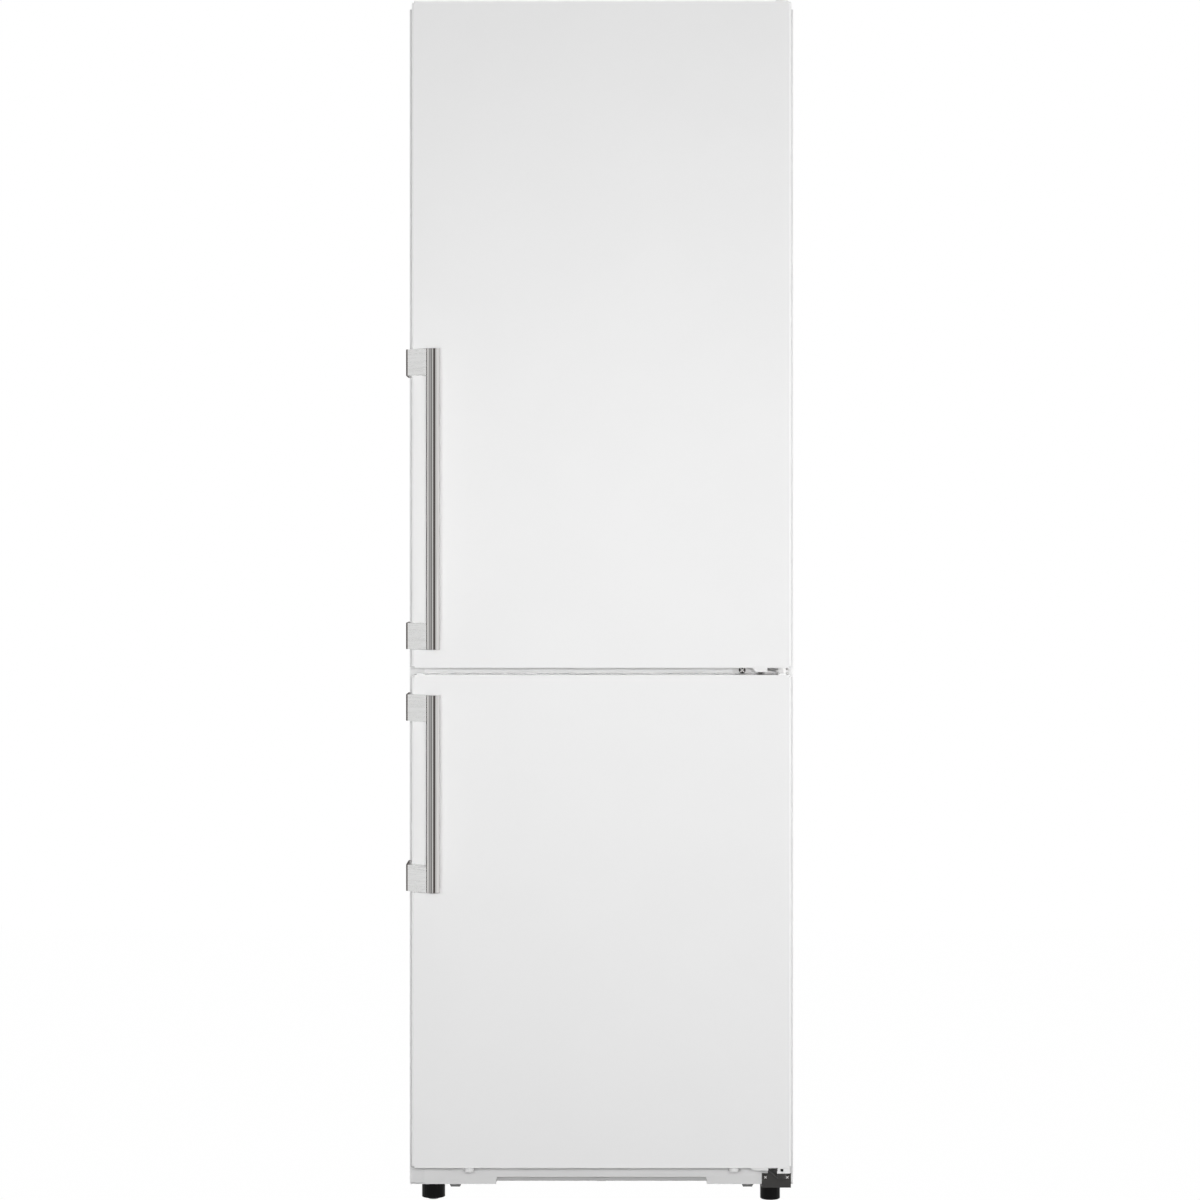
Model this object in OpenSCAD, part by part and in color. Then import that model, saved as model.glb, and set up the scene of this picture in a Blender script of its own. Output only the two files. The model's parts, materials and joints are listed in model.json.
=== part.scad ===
// Free-standing fridge-freezer, freezer below, both doors hinged on the right.
// The origin is on the floor under the middle of the appliance.
// X points right as seen from the front, Y to the back and Z up.

/* [Cabinet] */
// Width over the two side panels
cabinet_w = 595; // [585:1:605]
// Height of the cabinet's top above the floor
cabinet_top = 1850; // [1820:1:1900]
// Depth from the cabinet's front face to the back of the back panel
cabinet_d = 530; // [515:1:560]
// Height of the base pan above the floor
base_z = 28; // [26:1:31]
// Thickness of the painted steel sheet
sheet = 0.8; // [0.6:0.1:1]
// Thickness of the base pan's steel
pan_t = 1.2; // [1:0.1:1.5]
// Width of the side panel's front flange
flange_w = 23; // [20:1:25]
// Outside radius of the side panel's front bend
bend_r = 3; // [2.5:0.5:4]
// Width of the side panel's rear flange
rear_flange = 15; // [10:1:20]
// Distance of the toe recess from the cabinet's sides
toe_in = 134; // [120:0.5:147]
// Height of the toe recess
toe_h = 11; // [6:1:14]
// Depth of the toe recess
toe_d = 23; // [16:1:30]

/* [Insulation] */
// Thickness of the side walls
side_wall = 48; // [44:1:54]
// Thickness of the top wall
top_wall = 50; // [46:1:60]
// Thickness of the back wall
back_wall = 55; // [48:1:60]
// Height of the wall between the two compartments
mullion_h = 60; // [52:1:70]
// Height from the base pan to the freezer's floor
floor_wall = 82; // [76:1:88]
// Thickness of the moulded liners
liner_t = 1.5; // [1.2:0.1:2]
// Corner radius of the liners
liner_r = 14; // [8:1:20]
// Width of the liner's lip beside the mullion's cover
liner_lip = 6; // [5:0.5:8]

/* [Compressor bay] */
// Depth of the bay from the back
bay_d = 200; // [190:1:210]
// Height of the bay above the base pan
bay_h = 262; // [252:1:272]
// Size of the slope at the bay's upper front corner
bay_slope = 40; // [20:1:60]
// Thickness of the insulation round the bay
step_wall = 55; // [50:1:60]

/* [Doors] */
// Distance of the doors' sides from the cabinet's sides
door_inset = 8; // [7:0.5:9]
// Thickness of the doors
door_t = 64; // [60:1:70]
// Space between the doors and the cabinet, which the gaskets fill
seal_gap = 12; // [11:0.5:14]
// Height of the freezer door's lower edge above the floor
door_bottom = 69; // [66:1:72]
// Height of the freezer door
freezer_door_h = 752; // [742:1:770]
// Height of the gap between the two doors
door_split = 11; // [10:0.5:13]
// Distance of the fridge door's upper edge below the cabinet's top
door_drop = 1; // [0.5:0.5:3]
// Radius of the doors' upright edges
edge_r = 4; // [3:0.5:6]
// Height of the end caps' visible rim
cap_rim = 2.5; // [2:0.5:4]
// Height of the end caps inside the door
cap_h = 16; // [15:1:20]
// Height that the fridge door's inner frame rises towards the shelves
fridge_rise = 60; // [50:1:65]
// Height that the freezer door's inner frame rises
freezer_rise = 22; // [16:1:24]
// Width of the raised frame on the doors' inner faces
dyke_w = 24; // [20:1:26]

/* [Gaskets] */
// Width of the gaskets
gasket_w = 20; // [18:0.5:22]
// Distance of the gaskets from the doors' edges
gasket_edge = 7.5; // [7.5:0.5:9]
// Gap between a closed gasket and the cabinet
gasket_gap = 0.6; // [0.5:0.1:0.9]

/* [Hinges] */
// Distance of the hinge axis from the doors' right side
hinge_in_x = 13.5; // [13:0.5:15]
// Distance of the hinge axis behind the doors' front
hinge_in_y = 20; // [18:0.5:24]
// Diameter of the hinge pins
pin_d = 8; // [6:0.5:9]
// Radial clearance of the pins in the doors
pin_fit = 0.05; // [0.03:0.01:0.1]
// Length of the pins inside the doors
pin_in = 14; // [12:0.5:14.5]
// Thickness of the hinge steel
hinge_t = 3; // [2.5:0.5:3.5]
// Diameter of the lower hinge screws' heads
low_head_d = 8; // [7:0.5:9]
// Diameter of the middle hinge screws' heads
mid_head_d = 10.5; // [8:0.5:11]
// Diameter of the screws' shanks
shank_d = 4; // [3.5:0.1:4.5]

/* [Handles] */
// Distance that the handles stand out from the doors
handle_out = 42; // [36:1:50]
// Width of the handle bar
bar_w = 20.5; // [16:0.5:24]
// Depth of the handle bar
bar_d = 25; // [20:1:26]
// Radius of the bar's round front
bar_front_r = 16; // [16:1:30]
// Radius of the bar's rear edges
bar_r = 5; // [3:0.5:8]
// Distance of the bar from the cabinet's side
bar_in = 32.5; // [30:0.5:40]
// Height of a handle mount
mount_h = 40; // [30:1:50]
// Length of the mount's leg along the side of the door
mount_leg = 52; // [40:1:56]
// Height of the fridge door's handle
fridge_handle_h = 456; // [380:1:500]
// Height of the freezer door's handle
freezer_handle_h = 299; // [240:1:330]
// Distance of the handles from the gap between the doors
handle_gap = 29; // [20:1:40]

/* [Feet and rollers] */
// Distance of the left foot from the cabinet's left side
left_foot_in = 35.5; // [34:0.5:42]
// Diameter of the left foot
left_foot_d = 36; // [30:1:38]
// Distance of the right foot from the cabinet's right side
right_foot_in = 34.5; // [34:0.5:42]
// Diameter of the right foot
right_foot_d = 31; // [26:0.5:32]
// Distance of the feet behind the cabinet's front
foot_in_y = 28; // [26:1:34]
// Distance of the right foot's top below the base pan
bracket_drop = 5; // [4:0.5:6]
// Diameter of the feet's threaded stems
stem_d = 10; // [8:0.5:12]
// Distance that the feet screw out
foot_travel = 15; // [8:1:18]
// Diameter of the rear rollers
roller_d = 36; // [32:1:40]
// Width of the rear rollers
roller_w = 16; // [12:1:18]
// Diameter of the rollers' axles
axle_d = 6; // [5:0.5:8]
// Radial clearance of the rollers on their axles
axle_fit = 0.05; // [0.03:0.01:0.1]
// Distance of the rollers' middle from the cabinet's sides
roller_in = 42; // [38:1:50]
// Distance of the axles from the cabinet's back
roller_in_y = 40; // [36:1:60]

/* [Shelves] */
// Thickness of the glass
glass_t = 4; // [3:0.5:5]
// Width of the ledges that carry the shelves
ledge_w = 8; // [6:1:10]
// Height of the ledges
ledge_h = 6; // [4:1:8]
// Height from the fridge's floor to the crisper's runners
runner_z = 180; // [170:1:190]
// Height from the crisper's runners to the crisper's cover
cover_rise = 15; // [13:1:18]
// Space above the top shelf as a share of the distance from one shelf to the next
top_share = 0.85; // [0.8:0.05:1]
// Number of glass shelves above the crisper
shelf_count = 3; // [2:1:3]
// Clearance of the glass from the walls
glass_gap = 2; // [1:0.5:3]
// Height of the freezer's upper shelf above the step
freezer_shelf_rise = 231; // [222:1:236]
// Thickness of the air duct on the back wall
duct_t = 14; // [10:1:16]

/* [Drawers] */
// Thickness of the drawers' walls
drawer_t = 2.5; // [2:0.5:3]
// Clearance of the drawers from the ledges
drawer_gap = 3.5; // [2.5:0.5:5]
// Thickness of the drawers' fronts
fascia_t = 6; // [5:0.5:9]
// Clearance under a drawer at rest
slide_gap = 0.3; // [0.2:0.1:0.5]
// Distance of the freezer drawers behind the door's inner frame
drawer_back = 26; // [22:1:30]
// Distance of the crisper behind the door's lowest shelf
crisper_back = 50; // [44:1:60]

/* [Door shelves] */
// Depth of the bottle shelf
bottle_d = 108; // [90:1:112]
// Depth of the upper door shelves
shelf_bin_d = 92; // [70:1:98]
// Thickness of the door shelves' walls
bin_t = 2.5; // [2:0.5:3]
// Height of the bottle shelf
bottle_h = 120; // [90:5:140]
// Height of the middle door shelf
bin_h = 75; // [60:5:90]
// Height of the covered compartment
dairy_h = 70; // [55:5:80]
// Thickness of the compartment's lid
lid_t = 2.5; // [2:0.5:3]

/* [Freezer air circuit] */
// Depth of the space for the evaporator
evap_d = 69; // [64:1:74]
// Number of fins on the evaporator
fin_count = 20; // [12:1:24]
// Number of tube rows in the evaporator
evap_rows = 5; // [3:2:5]
// Distance between the evaporator's tubes
evap_pitch = 30; // [26:1:34]
// Outside diameter of the evaporator's tube
evap_tube_d = 8; // [6:0.5:9]
// Diameter of the fan
fan_d = 110; // [90:1:116]
// Number of fan blades
blade_count = 5; // [4:1:7]

/* [Condenser] */
// Distance of the condenser's rearmost wires behind the back panel
rear_space = 30; // [26:1:36]
// Number of tube runs
run_count = 18; // [12:2:18]
// Distance from one run to the next
run_pitch = 66; // [56:1:68]
// Outside diameter of the condenser's tube
cond_tube_d = 4.8; // [4:0.2:6]
// Diameter of the wires
wire_d = 1.6; // [1.2:0.1:2]
// Number of wires on each side of the tube
wire_count = 21; // [15:1:25]
// Half length of the straight runs
run_hw = 200; // [190:1:206]

/* [Compressor] */
// Diameter of the compressor's can
can_d = 152; // [140:1:160]
// Height of the compressor's can
can_h = 146; // [130:1:150]
// Height of the rubber mounts
grommet_h = 14; // [12:1:16]
// Height of the tray's plate above the floor
tray_z = 44; // [42:1:48]
// Thickness of the tray's steel
tray_t = 2; // [1.5:0.5:2.5]

/* [Hidden] */
$fn = 64;
// Overshoot of a cut past the face that it opens
cut = 1;
// Gap between two flat pieces that only lie against each other
seat = 0.3;
// Ratio by which a wall's 45 degree corner shifts for each millimetre of offset
slope_shift = sqrt(2) - 1;

// Depths from the front to the back
overall_d = handle_out + door_t + seal_gap + cabinet_d + rear_space;
y_front = -overall_d / 2;
y_door = y_front + handle_out;
y_door_back = y_door + door_t;
y_cab = y_door_back + seal_gap;
y_back = y_cab + cabinet_d;
y_rear = overall_d / 2;
foam_back = y_back - 2 * sheet;
y_panel = foam_back + sheet;
cav_back = y_back - back_wall;
bay_front = y_back - bay_d;
step_y = bay_front - step_wall;
evap_front = cav_back - evap_d;

// Widths
half_w = cabinet_w / 2;
inner_w = half_w - sheet;
flange_x = half_w - flange_w;
cav_hw = half_w - side_wall;
door_hw = half_w - door_inset;
toe_hw = half_w - toe_in;
ledge_x = cav_hw - ledge_w;

// Heights
panel_lift = 2;
freezer_door_z1 = door_bottom + freezer_door_h;
fridge_door_z0 = freezer_door_z1 + door_split;
fridge_door_z1 = cabinet_top - door_drop;
mid_z = freezer_door_z1 + door_split / 2;
fridge_z0 = mid_z + mullion_h / 2;
fridge_z1 = cabinet_top - top_wall;
freezer_z0 = base_z + floor_wall;
freezer_z1 = mid_z - mullion_h / 2;
kick_top = freezer_z0 - 2 * liner_lip;
bay_top = base_z + bay_h;
step_z = bay_top + step_wall;
step_slope = bay_slope;

// Hinge axis
hinge_x = door_hw - hinge_in_x;
hinge_y = y_door + hinge_in_y;

// Shelves and drawers
crisper_z = fridge_z0 + runner_z;
cover_z = crisper_z + cover_rise;
unit_h = 36;
shelf_pitch = (fridge_z1 - unit_h - cover_z) / (shelf_count + top_share);
shelf_front = y_door_back + bottle_d + 10;
shelf_back = cav_back - duct_t - 5;
step_shelf_z = step_z + ledge_h;
upper_shelf_z = step_z + freezer_shelf_rise;
freezer_front = y_door_back + freezer_rise + drawer_back;
freezer_ledge_front = freezer_front + fascia_t + 3;
drawer_hw = min(ledge_x - drawer_gap, cav_hw - liner_r);
frame_inset = 17.5;
fridge_dyke_hw = cav_hw - frame_inset;
bin_hw = fridge_dyke_hw - dyke_w - seat;
freezer_dyke_hw = cav_hw - 13.5;
dyke_gap = 10;
dyke_r = 14;
fridge_dyke_z0 = fridge_z0 + dyke_gap;
fridge_dyke_z1 = fridge_z1 - dyke_gap;

// Door shelves
bin_ledge_h = 8;
bottle_z = fridge_dyke_z0 + dyke_w + dyke_r / 2 + bin_ledge_h + 1;
dairy_z = fridge_dyke_z1 - dyke_w - dairy_h - shelf_bin_d - 17.5;
bin_z = (bottle_z + bottle_h + dairy_z) / 2;
lid_y = y_door_back + 14;
lid_z = dairy_z + dairy_h - 6;
lid_pin_r = 2.5;

// Feet, rollers and the tray
left_foot_x = -half_w + left_foot_in;
right_foot_x = half_w - right_foot_in;
foot_y = y_cab + foot_in_y;
stem_h = 22;
roller_x = half_w - roller_in;
roller_y = y_back - roller_in_y;
tray_front = bay_front + 28;
tray_back = y_back - 8;
tray_top = tray_z + tray_t;

// Compressor
comp_x = -70;
comp_y = bay_front + bay_d / 2;
foot_plate_t = 2.5;
can_z = tray_top + grommet_h + foot_plate_t;
grommets = [for (x = [-80, 80], y = [-52, 52]) [comp_x + x, comp_y + y]];

// Condenser
cond_y = y_rear - wire_d - seat / 2 - cond_tube_d / 2;
cond_z0 = bay_top + 60;
cond_z1 = cond_z0 + (run_count - 1) * run_pitch;
rail_x = run_hw - 12;
drop_x = run_hw + run_pitch / 2;
riser_x = drop_x + 16;
hot_z = base_z + 90;
outlet_z = bay_top - 8;

// Hinge screws, as places on the faces that they hold
low_screw_z = base_z + 11.5;
low_screws = [[hinge_x - 22, low_screw_z], [hinge_x + 12, low_screw_z]];
mid_screws = [[hinge_x - 58, mid_z - 1], [hinge_x - 30, mid_z - 1]];
top_screws = [
    [hinge_x - 46, y_cab + 20],
    [hinge_x - 8, y_cab + 20],
    [hinge_x - 27, y_cab + 50]
];
screw_bore_r = shank_d / 2 + 0.3;
foam_bore_r = shank_d / 2 + 1.5;
shank_h = 12;

// Box between two opposite corners
module block(a, b) {
    translate(a) cube([b[0] - a[0], b[1] - a[1], b[2] - a[2]]);
}

// Rectangle between two opposite corners
module rect(a, b) {
    translate(a) square([b[0] - a[0], b[1] - a[1]]);
}

// Rectangle with round corners
module round_rect(a, b, r) {
    rect([a[0] + r, a[1]], [b[0] - r, b[1]]);
    rect([a[0], a[1] + r], [b[0], b[1] - r]);
    for (x = [a[0] + r, b[0] - r], y = [a[1] + r, b[1] - r]) translate([x, y]) circle(r);
}

// Quarter of a ring in the first quadrant
module quarter_ring(r, t) {
    intersection() {
        difference() {
            circle(r);
            circle(r - t);
        }
        square(r + cut);
    }
}

// Quarter of a disc in the first quadrant
module quarter_disc(r) {
    intersection() {
        circle(r);
        square(r + cut);
    }
}

// Prism of a plan outline between two heights
module plan(z0, z1) {
    translate([0, 0, z0]) linear_extrude(z1 - z0) children();
}

// Prism of a front outline, in x and z, between two depths
module front(y0, y1) {
    translate([0, y1, 0]) rotate([90, 0, 0]) linear_extrude(y1 - y0) children();
}

// Prism of a side outline, in y and z, between two widths
module side(x0, x1) {
    translate([x0, 0, 0]) rotate([90, 0, 90]) linear_extrude(x1 - x0) children();
}

// The piece and its mirror image on the other side
module both() {
    children();
    mirror([1, 0, 0]) children();
}

// Cylinder along X, Y or Z from a point
module rod_x(p, r, l) {
    translate(p) rotate([0, 90, 0]) cylinder(r = r, h = l);
}
module rod_y(p, r, l) {
    translate(p) rotate([-90, 0, 0]) cylinder(r = r, h = l);
}
module rod_z(p, r, l) {
    translate(p) cylinder(r = r, h = l);
}

function unit(v) = v / norm(v);
function turned(u, v, w, p) = [
    [u[0], v[0], w[0], p[0]],
    [u[1], v[1], w[1], p[1]],
    [u[2], v[2], w[2], p[2]],
    [0, 0, 0, 1]
];

// Bent tube through points whose legs run along the axes
module pipe(points, r, bend) {
    last = len(points) - 1;
    for (i = [0 : last - 1]) {
        d = unit(points[i + 1] - points[i]);
        from = i == 0 ? 0 : bend;
        to = i == last - 1 ? 0 : bend;
        h = norm(points[i + 1] - points[i]) - from - to;
        u = [d[1], d[2], d[0]];
        if (h > 0.01)
            multmatrix(turned(u, cross(d, u), d, points[i] + from * d)) cylinder(r = r, h = h);
    }
    for (i = [1 : 1 : last - 1]) {
        a = unit(points[i] - points[i - 1]);
        b = unit(points[i + 1] - points[i]);
        multmatrix(turned(-b, a, cross(-b, a), points[i] - bend * a + bend * b))
            rotate_extrude(angle = 90) translate([bend, 0]) circle(r);
    }
}

// Pan-head screw with a cross recess, its head above the origin and its shank below
module screw(head_d, shank) {
    head_h = 2.4;
    slot_w = 1.2;
    difference() {
        union() {
            cylinder(d = head_d, h = head_h);
            rod_z([0, 0, -shank], shank_d / 2, shank + cut);
        }
        for (a = [0, 90]) rotate(a + 45)
            block([-head_d / 3, -slot_w / 2, head_h / 2], [head_d / 3, slot_w / 2, head_h + cut]);
    }
}

// Left side panel, with the right one as its mirror image
module side_panel() {
    plan(base_z + panel_lift, cabinet_top) {
        rect([-half_w, y_cab + bend_r], [-inner_w, y_back]);
        translate([-half_w + bend_r, y_cab + bend_r]) rotate(180) quarter_ring(bend_r, sheet);
        rect([-half_w + bend_r, y_cab], [-flange_x, y_cab + sheet]);
        rect([-half_w, y_back - sheet], [-half_w + rear_flange, y_back]);
    }
}

module side_panel_left() {
    color("white") side_panel();
}

module side_panel_right() {
    color("white") difference() {
        mirror([1, 0, 0]) side_panel();
        for (p = low_screws) rod_y([p[0], y_cab - cut, p[1]], screw_bore_r, sheet + 2 * cut);
    }
}

// Top sheet with a front flange between the side panels' flanges
module top_panel() {
    color("white") difference() {
        union() {
            block([-inner_w, y_cab + bend_r, cabinet_top - sheet],
                [inner_w, y_back - sheet, cabinet_top]);
            block([-flange_x, y_cab, cabinet_top - sheet],
                [flange_x, y_cab + bend_r, cabinet_top]);
            block([-flange_x, y_cab, cabinet_top - flange_w],
                [flange_x, y_cab + sheet, cabinet_top]);
        }
        for (p = top_screws) rod_z([p[0], p[1], cabinet_top - sheet - cut], screw_bore_r, sheet + 2 * cut);
    }
}

// Back sheet with pressed upright beads
module back_panel() {
    bead_r = 4;
    bead_z = 60;
    color("lightgray") difference() {
        block([-inner_w, foam_back, bay_top], [inner_w, y_panel, cabinet_top - sheet]);
        for (x = [-1, 1] * (inner_w - 40))
            block([x - bead_r, foam_back + sheet / 2, bay_top + bead_z],
                [x + bead_r, y_panel + cut, cabinet_top - bead_z]);
    }
}

// Outline of the bay's wall and roof, moved towards the foam by t
function bay_line(t) = [
    [bay_front - t, base_z],
    [bay_front - t, bay_top - bay_slope + slope_shift * t],
    [bay_front + bay_slope - slope_shift * t, bay_top + t],
    [foam_back, bay_top + t]
];
function backwards(list) = [for (i = [len(list) - 1 : -1 : 0]) list[i]];

// Folded base with a kick plate, a toe recess, stiffening beads and the bay's wall
module base_pan() {
    slant = 1.5;
    bead_x = half_w - 71;
    bead_h = 4;
    toe_z = base_z + toe_h;
    color("gainsboro") difference() {
        union() {
            front(y_cab, y_cab + pan_t) polygon([
                [-flange_x, base_z], [-toe_hw - slant, base_z],
                [-toe_hw + slant, toe_z], [toe_hw - slant, toe_z],
                [toe_hw + slant, base_z], [flange_x, base_z],
                [flange_x, kick_top], [-flange_x, kick_top]
            ]);
            plan(base_z, base_z + pan_t) difference() {
                rect([-inner_w, y_cab], [inner_w, bay_front]);
                rect([-toe_hw, y_cab - cut], [toe_hw, y_cab + toe_d]);
            }
            block([-toe_hw, y_cab, toe_z], [toe_hw, y_cab + toe_d + pan_t, toe_z + pan_t]);
            block([-toe_hw - pan_t, y_cab + toe_d, base_z],
                [toe_hw + pan_t, y_cab + toe_d + pan_t, toe_z + pan_t]);
            both() block([toe_hw, y_cab, base_z], [toe_hw + pan_t, y_cab + toe_d + pan_t, toe_z + pan_t]);
            both() front(y_cab, bay_front - toe_d) polygon([
                [bead_x - 9, base_z], [bead_x - 7, base_z - bead_h],
                [bead_x + 7, base_z - bead_h], [bead_x + 9, base_z]
            ]);
            front(y_cab + toe_d - 2, y_cab + toe_d) polygon([
                [-7, base_z], [7, base_z], [9.3, base_z + 5], [-9.3, base_z + 5]
            ]);
            side(-inner_w, inner_w) polygon(concat(bay_line(0), backwards(bay_line(pan_t))));
        }
        for (x = [left_foot_x, right_foot_x])
            rod_z([x, foot_y, base_z - 2 * bead_h], stem_d / 2 + seat, pan_t + 3 * bead_h);
        for (p = low_screws) rod_y([p[0], y_cab - cut, p[1]], screw_bore_r, pan_t + 2 * cut);
        drain_bore();
    }
}

// Space inside a compartment, grown by t into the walls
module fridge_space(t, y0) {
    front(y0, cav_back + t)
        round_rect([-cav_hw - t, fridge_z0 - t], [cav_hw + t, fridge_z1 + t], liner_r + t);
}
module freezer_space(t, y0) {
    intersection() {
        front(y0, cav_back + t)
            round_rect([-cav_hw - t, freezer_z0 - t], [cav_hw + t, freezer_z1 + t], liner_r + t);
        side(-half_w, half_w) polygon([
            [y0, freezer_z0 - t],
            [step_y + t, freezer_z0 - t],
            [step_y + t, step_z - step_slope - slope_shift * t],
            [step_y + step_slope + slope_shift * t, step_z - t],
            [cav_back + t, step_z - t],
            [cav_back + t, freezer_z1 + t],
            [y0, freezer_z1 + t]
        ]);
    }
}

// Way of the defrost water from the evaporator to the bay
drain_x = -150;
drain_y = cav_back - evap_d / 2 + 2.5;
drain_r = 9;
module drain_bore() {
    rod_z([drain_x, drain_y, bay_top - cut], drain_r + seat, step_wall + liner_t + 2 * cut);
}

// Foam that fills the walls round both liners
module cabinet_foam() {
    toe_z = base_z + toe_h + pan_t;
    foam_front = y_cab + bend_r;
    color("khaki") difference() {
        side(-inner_w, inner_w) polygon(concat(
            [[foam_front, toe_z], [y_cab + toe_d + pan_t, toe_z]],
            [[y_cab + toe_d + pan_t, base_z + pan_t], [bay_front - pan_t, base_z + pan_t]],
            [for (i = [1 : 3]) bay_line(pan_t)[i]],
            [[foam_back, cabinet_top - sheet], [foam_front, cabinet_top - sheet]]
        ));
        fridge_space(liner_t, y_cab);
        freezer_space(liner_t, y_cab);
        for (x = [left_foot_x, right_foot_x])
            rod_z([x, foot_y, base_z], stem_d / 2 + 1, stem_h + 2 * foot_travel);
        for (p = concat(low_screws, mid_screws))
            rod_y([p[0], y_cab, p[1]], foam_bore_r, shank_h + 2);
        for (p = top_screws)
            rod_z([p[0], p[1], cabinet_top - shank_h - 2], foam_bore_r, shank_h + 2);
        drain_bore();
    }
}

// Pair of ledges that carry a shelf at height z
module ledges(z, y0, y1) {
    both() block([ledge_x, y0, z - ledge_h], [cav_hw + liner_t / 2, y1, z]);
}

module fridge_liner() {
    color("whitesmoke") {
        difference() {
            union() {
                fridge_space(liner_t, y_cab);
                block([-flange_x, y_cab, mid_z + mullion_h / 2 - liner_lip],
                    [flange_x, y_cab + liner_t, cabinet_top - flange_w]);
            }
            fridge_space(0, y_cab - cut);
        }
        ledges(crisper_z, shelf_front, shelf_back);
        for (i = [0 : shelf_count]) ledges(cover_z + i * shelf_pitch, shelf_front, shelf_back);
    }
}

module freezer_liner() {
    color("whitesmoke") difference() {
        union() {
            difference() {
                union() {
                    freezer_space(liner_t, y_cab);
                    block([-flange_x, y_cab, kick_top],
                        [flange_x, y_cab + liner_t, mid_z - mullion_h / 2 + liner_lip]);
                }
                freezer_space(0, y_cab - cut);
            }
            ledges(step_shelf_z, freezer_ledge_front, evap_front - 5);
            ledges(upper_shelf_z, freezer_ledge_front, evap_front - 5);
        }
        drain_bore();
    }
}

// Steel strip between the two compartments
module mullion_cover() {
    color("gainsboro") difference() {
        block([-flange_x, y_cab, mid_z - mullion_h / 2 + liner_lip],
            [flange_x, y_cab + sheet, mid_z + mullion_h / 2 - liner_lip]);
        for (p = mid_screws) rod_y([p[0], y_cab - cut, p[1]], screw_bore_r, sheet + 2 * cut);
    }
}

module glass_shelves() {
    color("lightcyan", 0.6) for (i = [1 : shelf_count])
        translate([0, 0, cover_z + i * shelf_pitch])
            block([-cav_hw + glass_gap, shelf_front, 0], [cav_hw - glass_gap, shelf_back, glass_t]);
}

// Front and rear strips that clasp a shelf's glass
module shelf_trim_pair() {
    lip = 3;
    w = ledge_x - 1.5;
    side(-w, w) {
        difference() {
            round_rect([shelf_front - 6, -lip], [shelf_front + 10, glass_t + lip], lip);
            rect([shelf_front, 0], [shelf_front + 10 + cut, glass_t]);
        }
        difference() {
            rect([shelf_back - 8, -lip], [shelf_back + 3, glass_t + 3 * lip]);
            rect([shelf_back - 8 - cut, 0], [shelf_back, glass_t]);
            rect([shelf_back - 8 - cut, glass_t + lip], [shelf_back, glass_t + 3 * lip + cut]);
        }
    }
}

module shelf_trims() {
    color("white") for (i = [1 : shelf_count])
        translate([0, 0, cover_z + i * shelf_pitch]) shelf_trim_pair();
}

// Groove along the crisper cover's front rail for the humidity slider
groove_hw = 40;
groove_w = 4;
groove_h = 4;
rail_d = 14;
rail_top = cover_z + glass_t + 5;
rail_y = shelf_front - rail_d / 2;
slider_hw = 15;
slider_gap = 0.2;

module crisper_cover() {
    color("lightcyan", 0.7) difference() {
        union() {
            block([-cav_hw + glass_gap, shelf_front, cover_z],
                [cav_hw - glass_gap, shelf_back, cover_z + glass_t]);
            side(-ledge_x + 1.5, ledge_x - 1.5)
                round_rect([shelf_front - rail_d, cover_z - 4], [shelf_front, rail_top], 2);
        }
        block([-groove_hw, rail_y - groove_w / 2, rail_top - groove_h],
            [groove_hw, rail_y + groove_w / 2, rail_top + cut]);
    }
}

module humidity_slider() {
    knob_hw = 11;
    color("steelblue") {
        block([-slider_hw, rail_y - groove_w / 2 + slider_gap, rail_top - groove_h + slider_gap],
            [slider_hw, rail_y + groove_w / 2 - slider_gap, rail_top + slider_gap]);
        side(-knob_hw, knob_hw) polygon([
            [rail_y - rail_d / 2, rail_top + slider_gap],
            [rail_y + rail_d / 2 - 2, rail_top + slider_gap],
            [rail_y + 2, rail_top + 6],
            [rail_y - 2, rail_top + 6]
        ]);
    }
}

// Air outlet column on the fridge's back wall
module air_duct() {
    duct_hw = 70;
    slot_hw = 50;
    slot_h = 7;
    duct_z0 = cover_z + 30;
    duct_z1 = fridge_z1 - 40;
    color("white") difference() {
        plan(duct_z0, duct_z1) polygon([
            [-duct_hw, cav_back], [-duct_hw + duct_t, cav_back - duct_t],
            [duct_hw - duct_t, cav_back - duct_t], [duct_hw, cav_back]
        ]);
        for (i = [0 : shelf_count], k = [0 : 2])
            block([-slot_hw, cav_back - duct_t - cut, duct_z0 + 70 + i * shelf_pitch + 2 * k * slot_h],
                [slot_hw, cav_back - duct_t / 2, duct_z0 + 70 + i * shelf_pitch + (2 * k + 1) * slot_h]);
    }
}

// Ceiling unit with the lamp and the temperature dial
unit_hw = 150;
unit_front = shelf_front - 35;
unit_back = unit_front + 120;
lens_hw = 70;
lens_y0 = unit_front + 35;
lens_y1 = unit_front + 85;
lens_in = 4;
knob_r = 13;
knob_x = 100;
knob_z = fridge_z1 - unit_h / 2 + 2;
knob_d = 14;
spindle_r = 3;

module control_housing() {
    color("whitesmoke") difference() {
        side(-unit_hw, unit_hw) polygon([
            [unit_front, fridge_z1], [unit_front, fridge_z1 - unit_h + 5],
            [unit_front + 8, fridge_z1 - unit_h], [unit_back - 20, fridge_z1 - unit_h],
            [unit_back, fridge_z1]
        ]);
        block([-lens_hw - seat, lens_y0 - seat, fridge_z1 - unit_h - cut],
            [lens_hw + seat, lens_y1 + seat, fridge_z1 - unit_h + lens_in]);
        rod_y([knob_x, unit_front - cut, knob_z], spindle_r + axle_fit, 10 + cut);
    }
}

module lamp_lens() {
    color("ivory") side(-lens_hw, lens_hw)
        round_rect([lens_y0, fridge_z1 - unit_h - 4], [lens_y1, fridge_z1 - unit_h + lens_in], 2);
}

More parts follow.
